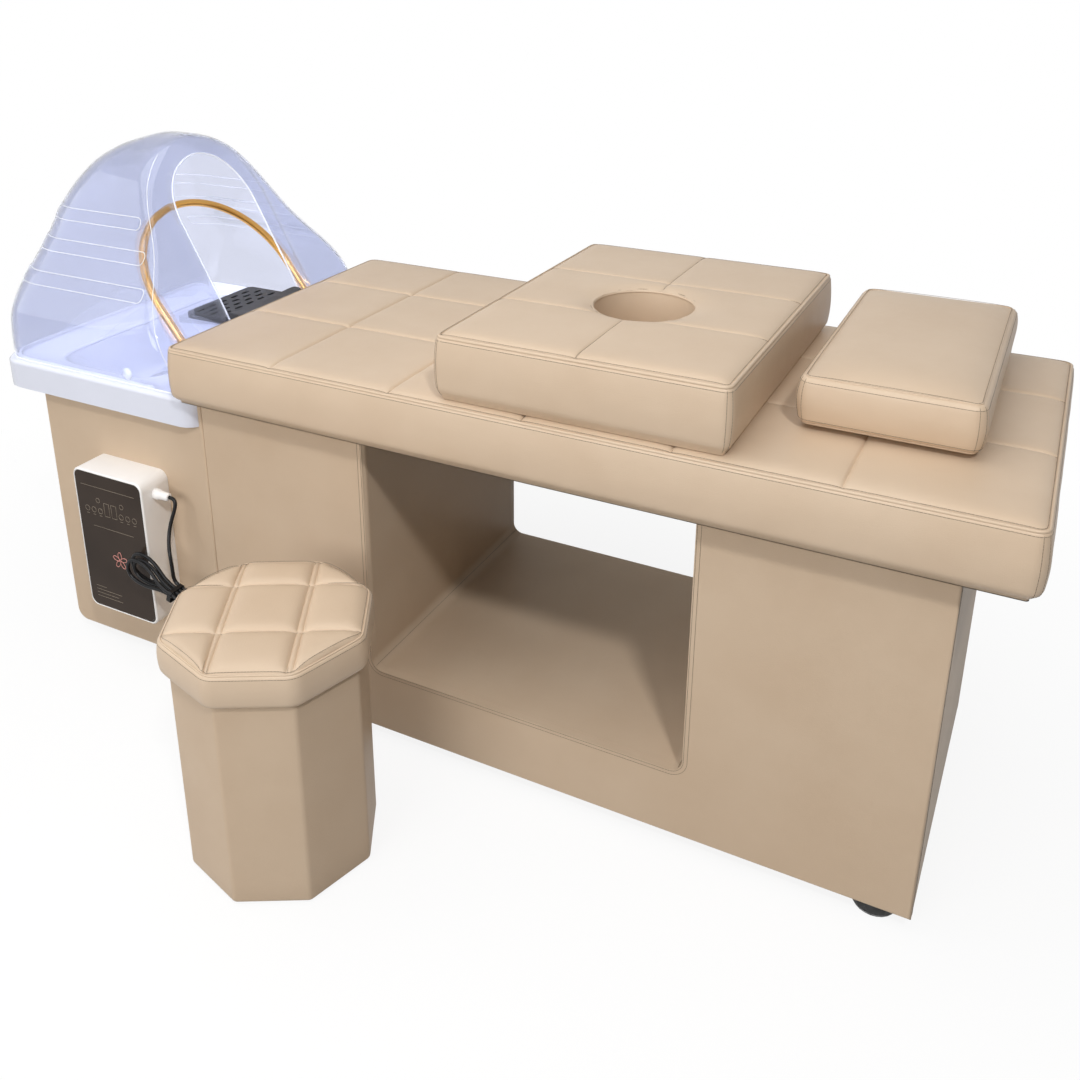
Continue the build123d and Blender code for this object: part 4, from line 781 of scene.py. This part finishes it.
def seamTree(spec):
    # each line becomes a thin dark tube of painted shade, standing for the shade in the seam's groove, with a row
    # of stitches lying on it
    tree = bpy.data.node_groups.new("seamRows", "GeometryNodeTree")
    for name, way in (("Lines", "INPUT"), ("Seams", "OUTPUT")):
        tree.interface.new_socket(name, in_out=way, socket_type="NodeSocketGeometry")
    curve = addNode(tree, "GeometryNodeMeshToCurve", {0: addNode(tree, "NodeGroupInput")})
    spots = addNode(tree, "GeometryNodeResampleCurve", {"Curve": curve, "Length": spec["pitch"]}, mode="LENGTH")
    along = addNode(tree, "FunctionNodeAlignRotationToVector",
                    {"Vector": addNode(tree, "GeometryNodeInputTangent")}, axis="Z")
    rows = addNode(tree, "GeometryNodeInstanceOnPoints", {
        "Points": spots, "Instance": addNode(tree, "GeometryNodeMeshIcoSphere", {"Subdivisions": 1}),
        "Rotation": along, "Scale": (spec["thick"], spec["thick"], spec["long"] / 2)})
    stitches = addNode(tree, "GeometryNodeSetMaterial", {
        "Geometry": addNode(tree, "GeometryNodeRealizeInstances", {0: rows}), "Material": looks["threadBeige"]})
    # the thin dark tube of painted shade in the seam's groove
    ring = addNode(tree, "GeometryNodeCurvePrimitiveCircle", {"Resolution": 6, "Radius": spec["seam"]})
    skin = addNode(tree, "GeometryNodeCurveToMesh", {"Curve": curve, "Profile Curve": ring})
    seam = addNode(tree, "GeometryNodeSetMaterial", {"Geometry": skin, "Material": looks["seamShade"]})
    both = addNode(tree, "GeometryNodeJoinGeometry", {0: stitches})
    feed(tree, both, {0: seam})
    addNode(tree, "NodeGroupOutput", {0: both})
    return tree


seamRows = seamTree(threadSet)


def sewLines(name, body, lines):
    # an edge-only mesh that the seam tree turns into thread and a thin line of painted shade
    verts, edges = [], []
    for line in lines:
        edges += [(k, k + 1) for k in range(len(verts), len(verts) + len(line) - 1)]
        verts += [tuple(p) for p in line]
    mesh = bpy.data.meshes.new(name)
    mesh.from_pydata(verts, edges, [])
    mesh.update()
    piece = addObject(name, mesh)
    piece.modifiers.new("sew", "NODES").node_group = seamRows
    settle(piece)
    finishPiece(piece, body, "leather")


def cutHole(piece, spec):
    # a round shaft through the cushion, its wall a little swollen
    (mx, my), (cx, cy, radius) = spec["middle"], spec["hole"]
    rings = []
    for k in range(holeSet["steps"] + 1):
        t = k / holeSet["steps"]
        wide = radius - holeSet["swell"] * sin(pi * min(max((t - 0.1) / 0.8, 0), 1))
        z = spec["low"] - holeSet["past"] + t * (spec["high"] - spec["low"] + holeSet["past"] + holeSet["rest"])
        rings.append([at(x, y, z) for x, y in circle(mx + cx, my + cy, wide, holeSet["turns"])])
    cutWith(piece, "holeCutter", rings)
    piece.data.set_sharp_from_angle(angle=radians(50))
    ring = circle(mx + cx, my + cy, radius + 0.001, 80)
    return tube([at(x, y, spec["high"] + 0.0008) for x, y in ring], holeSet["pipe"], closed=True, sides=8)


def makePad(name, spec):
    piece = addObject(name, padMesh(spec), looks["coverLeather"])
    rise, radius = spec["piping"]
    loops = [pipingLoop(spec, spec["high"] + rise, radius, radius * 0.25)]
    if spec["belly"]:
        loops.append(pipingLoop(spec, spec["low"], 0.0026, 0.0006))
    if "hole" in spec:
        loops.append(cutHole(piece, spec))
    finishPiece(piece, spec["body"], "leather", spec["node"])
    edging = joined(name + "Piping", loops, looks["coverLeather"])
    finishPiece(edging, spec["body"], "leather")
    sewLines(name + "Seams", spec["body"], padLines(spec))


for name, spec in padSets.items():
    makePad(name, {**padCommon, **spec})
print("soft goods are made")


# clear hood: one smooth shell through the same sections as the CAD, with its ribs and the rolled mouth, and thin
# whitish tubes of painted highlight along the rib rims, the creases, the mouth and the foot

hoodSet = {
    "head": -0.521, "foot": -0.014, "width": 0.644, "height": 0.452, "base": 0.6683, "wall": 0.0035,
    "mouthHalf": 0.117, "mouthHeight": 0.412, "cornerFoot": 0.026, "cornerMost": 0.92,
    "ribs": 3, "ribFirst": 0.170, "ribPitch": 0.061, "ribTall": 0.024, "ribRound": 0.010, "ribHigh": 0.0022,
    "ribMargin": 0.026, "ribSoft": 0.0025, "perSection": 10, "cornerSteps": 14, "sideSteps": 34, "endSteps": 60,
    # bead, line and footHighlightBead: radii of the whitish tubes of painted highlight at the mouth, on the rib
    # rims and creases, and at the foot
    "highlightBead": 0.0020, "line": 0.0008, "footHighlightBead": 0.0022, "capRound": 0.013, "capHigh": 0.006,
    "capAt": (-0.150, 0.691), "collarHigh": 0.008, "collarAway": 0.024, "collarWide": 0.017,
    "topRise": 0.0016,
    # height, head end, foot end, half width, head corner; each a share of the whole
    "shares": ((0.000, 0.000, 1.000, 0.969, 0.200), (0.071, 0.001, 0.988, 0.988, 0.220),
               (0.204, 0.004, 0.945, 1.000, 0.270), (0.292, 0.012, 0.906, 0.969, 0.300),
               (0.381, 0.022, 0.863, 0.894, 0.320), (0.469, 0.033, 0.820, 0.795, 0.330),
               (0.558, 0.052, 0.777, 0.705, 0.330), (0.646, 0.071, 0.734, 0.640, 0.330),
               (0.735, 0.111, 0.691, 0.581, 0.320), (0.823, 0.168, 0.653, 0.506, 0.290),
               (0.900, 0.233, 0.626, 0.404, 0.240), (0.956, 0.316, 0.601, 0.280, 0.170),
               (0.989, 0.403, 0.584, 0.149, 0.090), (1.000, 0.437, 0.566, 0.062, 0.040)),
}


def between(table, place):
    # smooth row of the section table at a fractional row number
    last = len(table) - 1
    i = min(int(place), last - 1)
    t = place - i
    rows = (table[max(i - 1, 0)], table[i], table[i + 1], table[min(i + 2, last)])
    return [0.5 * (2 * b + (c - a) * t + (2 * a - 5 * b + 4 * c - d) * t * t + (3 * b - a - 3 * c + d) * t ** 3)
            for a, b, c, d in zip(*rows)]


def hoodPlan(spec, row):
    _, head, foot, half, corner = row
    length = spec["foot"] - spec["head"]
    width = half * spec["width"] / 2
    x0, x1 = spec["head"] + head * length, spec["head"] + foot * length
    most = min(width, (x1 - x0) / 2) * spec["cornerMost"]
    return x0, x1, width, min(corner * spec["width"] / 2, most), min(spec["cornerFoot"], most)


def planAt(spec, z):
    share, shares = min(max((z - spec["base"]) / spec["height"], 0), 1), spec["shares"]
    place = next(i + (share - a[0]) / (b[0] - a[0])
                 for i, (a, b) in enumerate(zip(shares, shares[1:])) if a[0] <= share <= b[0])
    return hoodPlan(spec, between(shares, place))


def hoodRing(spec, row):
    # points and outward directions, from the foot end's near corner round to the head
    x0, x1, half, head, foot = hoodPlan(spec, row)
    fx, hx, fy, hy = x1 - foot, x0 + head, half - foot, half - head
    ring = []

    def turn(cx, cy, radius, start):
        ring.extend((cx + radius * nx, cy + radius * ny, nx, ny)
                    for nx, ny in arc(0, 0, 1, start, start + 90, spec["cornerSteps"]))

    def run(a, b, away, count):
        ring.extend((*spot, *away) for spot in straight(a, b, count)[1:-1])

    turn(fx, -fy, foot, -90)
    run((x1, -fy), (x1, fy), (1, 0), spec["endSteps"])
    turn(fx, fy, foot, 0)
    run((fx, half), (hx, half), (0, 1), spec["sideSteps"])
    turn(hx, hy, head, 90)
    run((x0, hy), (x0, -hy), (-1, 0), spec["endSteps"])
    turn(hx, -hy, head, 180)
    run((hx, -half), (fx, -half), (0, -1), spec["sideSteps"])
    return ring


def ribBoxes(spec):
    # both ends and the lower edge of each rib
    boxes = []
    for rib in range(spec["ribs"]):
        low = spec["base"] + spec["ribFirst"] + rib * spec["ribPitch"]
        x0, x1, *_ = planAt(spec, low + spec["ribTall"] / 2)
        boxes.append((x0 + spec["ribMargin"], x1 - spec["ribMargin"], low))
    return boxes


def ribRise(spec, boxes, x, z):
    # raised pads with round ends on each side of the hood
    best, r, soft = 0.0, spec["ribRound"], spec["ribSoft"]
    for x0, x1, low in boxes:
        dx = abs(x - (x0 + x1) / 2) - (x1 - x0) / 2 + r
        dz = abs(z - low - spec["ribTall"] / 2) - spec["ribTall"] / 2 + r
        away = hypot(max(dx, 0), max(dz, 0)) + min(max(dx, dz), 0) - r
        best = max(best, 1 - smoothStep(-soft, soft, away))
    return best * spec["ribHigh"]


def collarRise(spec, y, z):
    # broad roll round the mouth
    centre = spec["base"] + spec["mouthHeight"] - spec["mouthHalf"]
    away = (hypot(y, z - centre) if z > centre else abs(y)) - spec["mouthHalf"]
    return spec["collarHigh"] * exp(-((away - spec["collarAway"]) / spec["collarWide"]) ** 2)


def hoodShell(spec):
    boxes, rings = ribBoxes(spec), []
    rows = (len(spec["shares"]) - 1) * spec["perSection"]
    for k in range(rows + 1):
        row = between(spec["shares"], k / spec["perSection"])
        z = spec["base"] + row[0] * spec["height"]
        ring = []
        for x, y, nx, ny in hoodRing(spec, row):
            push = ribRise(spec, boxes, x, z) * smoothStep(0.35, 0.8, abs(ny)) if abs(ny) > 0.35 else 0.0
            if nx > 0.3:
                push += collarRise(spec, y, z) * smoothStep(0.3, 0.9, nx) * smoothStep(1.0, 0.93, row[0])
            ring.append(at(x + nx * push, y + ny * push, z))
        rings.append(ring)
    middle = sum(rings[-1], Vector()) / len(rings[-1])
    for share in (0.75, 0.5, 0.25):
        lift = Vector((0, 0, spec["topRise"] * (1 - share)))
        rings.append([middle + (p - middle) * share + lift for p in rings[rows]])
    return stackMesh(rings, True, mergeHood)


def roundedEdge(edge, radius, past):
    # an edge that bends away round a corner, past its start
    return edge if past <= 0 else edge - radius + sqrt(max(radius ** 2 - past ** 2, 0))


def frontX(spec, y, z):
    _, x1, half, _, foot = planAt(spec, z)
    return roundedEdge(x1, foot, abs(y) - (half - foot))


def sideY(spec, x, z):
    x0, _, half, head, _ = planAt(spec, z)
    return roundedEdge(half, head, x0 + head - x)


def mouthLine(spec, half, low):
    centre = spec["base"] + spec["mouthHeight"] - spec["mouthHalf"]
    return (straight((-half, low), (-half, centre), 24)[:-1] + arc(0, centre, half, 180, 0, 48)
            + straight((half, centre), (half, low), 24)[1:])


def ribHighlightLines(spec):
    # painted highlights: thin whitish tubes along the rims of the raised ribs
    lines = []
    r, tall = spec["ribRound"], spec["ribTall"]
    for x0, x1, low in ribBoxes(spec):
        left, right, lower, upper = x0 + r, x1 - r, low + r, low + tall - r
        path = straight((left, low), (right, low), 40) + arc(right, lower, r, -90, 0, 6)[1:]
        path += arc(right, upper, r, 0, 90, 6) + straight((right, low + tall), (left, low + tall), 40)[1:]
        path += arc(left, upper, r, 90, 180, 6)[1:] + arc(left, lower, r, 180, 270, 6)[:-1]
        for side in (-1, 1):
            points = [at(x, side * (sideY(spec, x, z) + spec["ribHigh"] * 0.6), z) for x, z in path]
            lines.append(thinned(points, 0.0025))
    return lines


def creaseHighlightLines(spec):
    # painted highlights: thin whitish tubes where the ribbed sides turn into the sloping front
    lines, diagonal = [], 0.7071
    for side in (-1, 1):
        line = []
        for k in range(57):
            z = spec["base"] + 0.004 + k / 56 * spec["height"] * 0.93
            _, x1, half, _, foot = planAt(spec, z)
            line.append(at(x1 - foot + foot * diagonal, side * (half - foot + foot * diagonal), z))
        lines.append(line)
    return lines


def footHighlightLine(spec):
    # painted highlight: a thin whitish tube along the rolled foot of the hood, open at the mouth
    mouth = spec["mouthHalf"] + 0.004
    line = thinned([at(x + nx * 0.0005, y + ny * 0.0005, spec["base"] + 0.0024) for x, y, nx, ny
                    in hoodRing(spec, spec["shares"][0]) if not (nx > 0.9 and abs(y) < mouth)], 0.003)
    start = next(i for i, p in enumerate(line) if (p - line[i - 1]).length > 0.1)
    return line[start:] + line[:start]


def hoodCap(spec):
    # small clear cup on the inner face of the near side
    x, z = spec["capAt"]
    y = spec["wall"] - sideY(spec, x, z)
    rings = []
    for k in range(6):
        turn = pi / 2 * k / 5.4
        wide, deep = spec["capRound"] * cos(turn), spec["capHigh"] * sin(turn)
        rings.append([at(u, y + deep, v) for u, v in circle(x, z, wide, 28)])
    return stackMesh(rings)


def makeHood(spec):
    piece = addObject("hoodShell", hoodShell(spec))
    thick = piece.modifiers.new("wall", "SOLIDIFY")
    thick.thickness, thick.offset = spec["wall"], -1
    settle(piece)
    outline = mouthLine(spec, spec["mouthHalf"], spec["base"] - 0.01)
    ends = (spec["foot"] + 0.01, spec["foot"] - 0.26)
    cutWith(piece, "mouthCutter", [[at(x, y, z) for y, z in outline] for x in ends])
    piece.data.materials.clear()
    piece.data.materials.append(looks["hoodClear"])
    shadeSmooth(piece.data, 40)
    finishPiece(piece, "lift_hood", "hood_clear", "hood")
    # whitish tubes of painted highlight: along the mouth, where the tube also stands for its small lip, and along
    # the rib rims, the creases and the foot; the small clear cup, a real part, is joined to them in the same
    # colour
    line = mouthLine(spec, spec["mouthHalf"] + 0.0004, spec["base"] + 0.002)
    highlightTubes = [tube([at(frontX(spec, y, z) - spec["wall"] / 2, y, z) for y, z in line], spec["highlightBead"], sides=12)]
    highlightTubes += [tube(line, spec["line"], closed=True, sides=8) for line in ribHighlightLines(spec)]
    highlightTubes += [tube(line, spec["line"], sides=8) for line in creaseHighlightLines(spec)]
    highlightTubes += [hoodCap(spec), tube(footHighlightLine(spec), spec["footHighlightBead"])]
    highlightBead = joined("hoodHighlightRims", highlightTubes, looks["hoodHighlight"])
    finishPiece(highlightBead, "lift_hood", "hood_clear")
    piece.visible_shadow = highlightBead.visible_shadow = False


makeHood(hoodSet)
print("hood is made")


# golden spray arch with its row of holes, each drawn as a short black plug of painted shade rather than cut

archSet = {"setback": -0.072, "high": 0.700, "half": 0.206, "leg": 0.124, "tilt": 37.4, "radius": 0.00825,
           "elbow": 0.014, "pin": 0.007, "pinLong": 0.024, "holes": 22, "hole": 0.0011, "holeEdge": 12}


def archPoint(spec, y, s):
    tilt = radians(spec["tilt"])
    return at(spec["setback"] - s * sin(tilt), y, spec["high"] + s * cos(tilt))


def makeArch(spec):
    r, half, leg = spec["elbow"], spec["half"], spec["leg"]
    line = arc(half + r, r, r, 270, 180, 10) + straight((half, r), (half, leg), 8)[1:]
    line += arc(0, leg, half, 0, 90, 48)[1:-1]
    line += [(0.0, leg + half)] + [(-y, s) for y, s in reversed(line)]
    parts = [tube([archPoint(spec, y, s) for y, s in line], spec["radius"], sides=24)]
    for side in (-1, 1):
        ends = [archPoint(spec, side * (half + r + d), 0) for d in (-0.001, spec["pinLong"])]
        parts.append(tube(ends, spec["pin"], sides=24))
    piece = joined("sprayArch", parts, looks["goldenTube"])
    piece.data.set_sharp_from_angle(angle=radians(50))
    finishPiece(piece, "swing_arch", "golden_tube", "spray_arch")
    # black plugs of painted shade where the spray holes are
    tilt, dots = radians(spec["tilt"]), []
    for u, v in arc(0, 0, 1, spec["holeEdge"], 180 - spec["holeEdge"], spec["holes"] - 1):
        inner = half - spec["radius"] + 0.0002
        middle = archPoint(spec, inner * u, leg + inner * v)
        inward = Vector((sin(tilt) * v, -u, -cos(tilt) * v))
        dots.append(tube([middle - inward * 0.001, middle + inward * 0.0002], spec["hole"]))
    finishPiece(joined("sprayHoleShade", dots, looks["footBlack"]), "swing_arch", "golden_tube")


makeArch(archSet)
print("spray arch is made")


# octagonal stool body under its seat

stoolSet = {"middle": stoolPlace, "turn": stoolTurn, "reach": 0.167, "corner": 0.014, "low": 0.003, "high": 0.400,
            "edge": 0.007, "steps": 6, "near": 0.006, "swell": 0.0012}


def stoolRing(spec, inset, z, swell):
    ring = []
    (cx, cy), corner = spec["middle"], spec["corner"] - inset
    ball = spec["reach"] - inset - corner / cos(pi / 8)
    long = 2 * ball * sin(pi / 8)
    for number in range(8):
        angle = spec["turn"] + 45 * number
        turn = radians(angle)
        ring += arc(cx + ball * cos(turn), cy + ball * sin(turn), corner, angle - 22.5, angle + 22.5,
                    spec["steps"])
        (ax, ay), face = ring[-1], turn + pi / 8
        for share in (spec["near"] / long, 0.25, 0.5, 0.75, 1 - spec["near"] / long):
            push, slide = swell * sin(pi * share) ** 0.8, long * share
            ring.append((ax - slide * sin(face) + push * cos(face),
                         ay + slide * cos(face) + push * sin(face)))
    return [at(x, y, z) for x, y in ring]


def makeStoolBody(spec):
    low, edge = spec["low"], spec["edge"]
    rings = [stoolRing(spec, edge * (1 - sin(turn)), low + edge * (1 - cos(turn)), 0.0)
             for turn in (pi / 8 * k for k in range(5))]
    for k in range(1, 13):
        z = low + edge + (spec["high"] - low - edge) * k / 12
        rings.append(stoolRing(spec, 0.0, z, spec["swell"] * sin(pi * min(k / 12 * 1.1, 1))))
    piece = addObject("stoolBody", stackMesh(rings), looks["panelLeather"])
    piece.data.set_sharp_from_angle(angle=radians(60))
    finishPiece(piece, "loose_stool", "leather", "stool_body")


makeStoolBody(stoolSet)
print("stool body is made")


# seams of the leather panels on the base and the cabinet

panelSet = {"front": -0.3032, "tunnel": (0.409, 1.045, 0.166), "corner": 0.024, "top": 0.668, "foot": 1.437,
            "floor": 0.030, "deep": 0.598, "lines": (0.0022, 0.0090), "footLines": (0.0090, 0.0125)}


def panelLines(spec):
    (x0, x1, z0), top, front, corner = spec["tunnel"], spec["top"], spec["front"], spec["corner"]
    left, right, low = x0 + corner, x1 - corner, z0 + corner
    lines = []
    for away in spec["lines"]:
        path = straight((x0 - away, top), (x0 - away, low), 40)[:-1] + arc(left, low, corner + away, 180, 270, 12)
        path += straight((left, z0 - away), (right, z0 - away), 60)[1:-1]
        path += arc(right, low, corner + away, -90, 0, 12) + straight((x1 + away, low), (x1 + away, top), 40)[1:]
        lines.append([at(x, front, z) for x, z in path])
    for away in spec["footLines"]:
        path = straight((front + away, spec["floor"] + 0.006), (front + away, top - 0.002), 60)
        lines.append([at(spec["foot"] + 0.0002, y, z) for y, z in path])
    fold = corner * (1 - cos(pi / 4)) + 0.0004
    for x in (x0 + fold, x1 - fold):
        lines.append([at(x, front + 0.004 + spec["deep"] * k / 40, z0 + fold) for k in range(41)])
    return lines


sewLines("panelSeams", "bed", panelLines(panelSet))
print("panel seams are sewn")


# marks printed on the heater's glass: rules, round buttons, plain digits and a flower

markSet = {"line": 0.00045, "ring": 0.0075, "digit": (0.014, 0.030), "button": 0.8, "small": 0.7,
           "petals": 5, "petalAway": 0.011, "petalHalf": (0.009, 0.0048), "petalLine": 0.0007,
           "flower": (0.55, 0.40)}


def makeMarks(spec):
    low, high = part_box("heater_glass")
    wide, tall = high[0] - low[0], high[2] - low[2]
    gold = []

    def spot(u, v):
        return Vector((low[0] + wide * u, low[1] - 0.0001, low[2] + tall * v))

    def rule(u0, v0, u1, v1):
        gold.append(tube([spot(u0, v0), spot(u1, v1)], spec["line"], sides=6))

    def loop(middle, points, radius):
        return tube([middle + Vector((dx, 0, dz)) for dx, dz in points], radius, closed=True, sides=6)

    def ring(u, v, share):
        gold.append(loop(spot(u, v), circle(0, 0, spec["ring"] * share, 32), spec["line"]))

    rule(0.08, 0.905, 0.90, 0.905)
    rule(0.20, 0.615, 0.82, 0.615)
    for u in (0.14, 0.24, 0.34, 0.66, 0.76, 0.86):
        ring(u, 0.735, spec["button"])
        rule(u - 0.02, 0.700, u + 0.02, 0.700)
    ring(0.32, 0.81, spec["small"])
    ring(0.68, 0.81, spec["small"])
    dx, dz = spec["digit"][0] / wide / 2, spec["digit"][1] / tall / 2
    for u, v in ((0.445, 0.755), (0.555, 0.755)):
        corners = ((u - dx, v - dz), (u + dx, v - dz), (u + dx, v + dz), (u - dx, v + dz))
        for a, b in zip(corners, corners[1:] + corners[:1]):
            rule(*a, *b)
    for k, long in enumerate((0.16, 0.40, 0.34, 0.40)):
        rule(0.10, 0.150 - k * 0.026, 0.10 + long, 0.150 - k * 0.026)
    finishPiece(joined("heaterMarks", gold, looks["markGold"]), "bed", "heater_glass")
    (long, broad), rose = spec["petalHalf"], []
    for k in range(spec["petals"]):
        turn = radians(360 / spec["petals"] * k + 90)
        leaf = [(spec["petalAway"] + long * c, broad * s) for c, s in circle(0, 0, 1, 24)]
        leaf = [(a * cos(turn) - b * sin(turn), a * sin(turn) + b * cos(turn)) for a, b in leaf]
        rose.append(loop(spot(*spec["flower"]), leaf, spec["petalLine"]))
    finishPiece(joined("heaterFlower", rose, looks["markRose"]), "bed", "heater_glass")


makeMarks(markSet)
print("heater marks are made")


# smooth shaded copies of the plain CAD pieces: angle that stays sharp, nodes

copySet = (
    (40, "front_panel rear_panel"), (30, "tunnel_lining"), (40, "foot_end_panel cabinet_front cabinet_rear"),
    (30, "cabinet_wrap"), (38, "basin basin_bowl"), (40, "feet foot_rims arch_sockets"), (28, "headrest_pad"),
    (30, "headrest_cradle"), (50, "heater_body"), (30, "heater_glass"), (34, "heater_gland"),
    (40, "plug_body plug_pins drain_flange drain_strainer heater_outlet water_inlet waste_pipe stool_glides"),
)
copyBodies = {"headrest_pad": "neck_rest", "drain_strainer": "strainer", "stool_glides": "loose_stool"}


def copyPiece(node, sharp):
    mesh, look = nodes[node].data.copy(), finishes[node]
    mesh.materials.clear()
    shadeSmooth(tidyMesh(mesh, mergeCad), sharp)
    piece = addObject(node + "_look", mesh)
    even = piece.modifiers.new("even", "WEIGHTED_NORMAL")
    even.keep_sharp, even.weight = True, 100
    settle(piece)
    piece.data.materials.append(looks[look])
    finishPiece(piece, copyBodies.get(node, "bed"), slotSet[look], node)


for sharp, users in copySet:
    for node in users.split():
        copyPiece(node, sharp)
print("CAD copies are made")
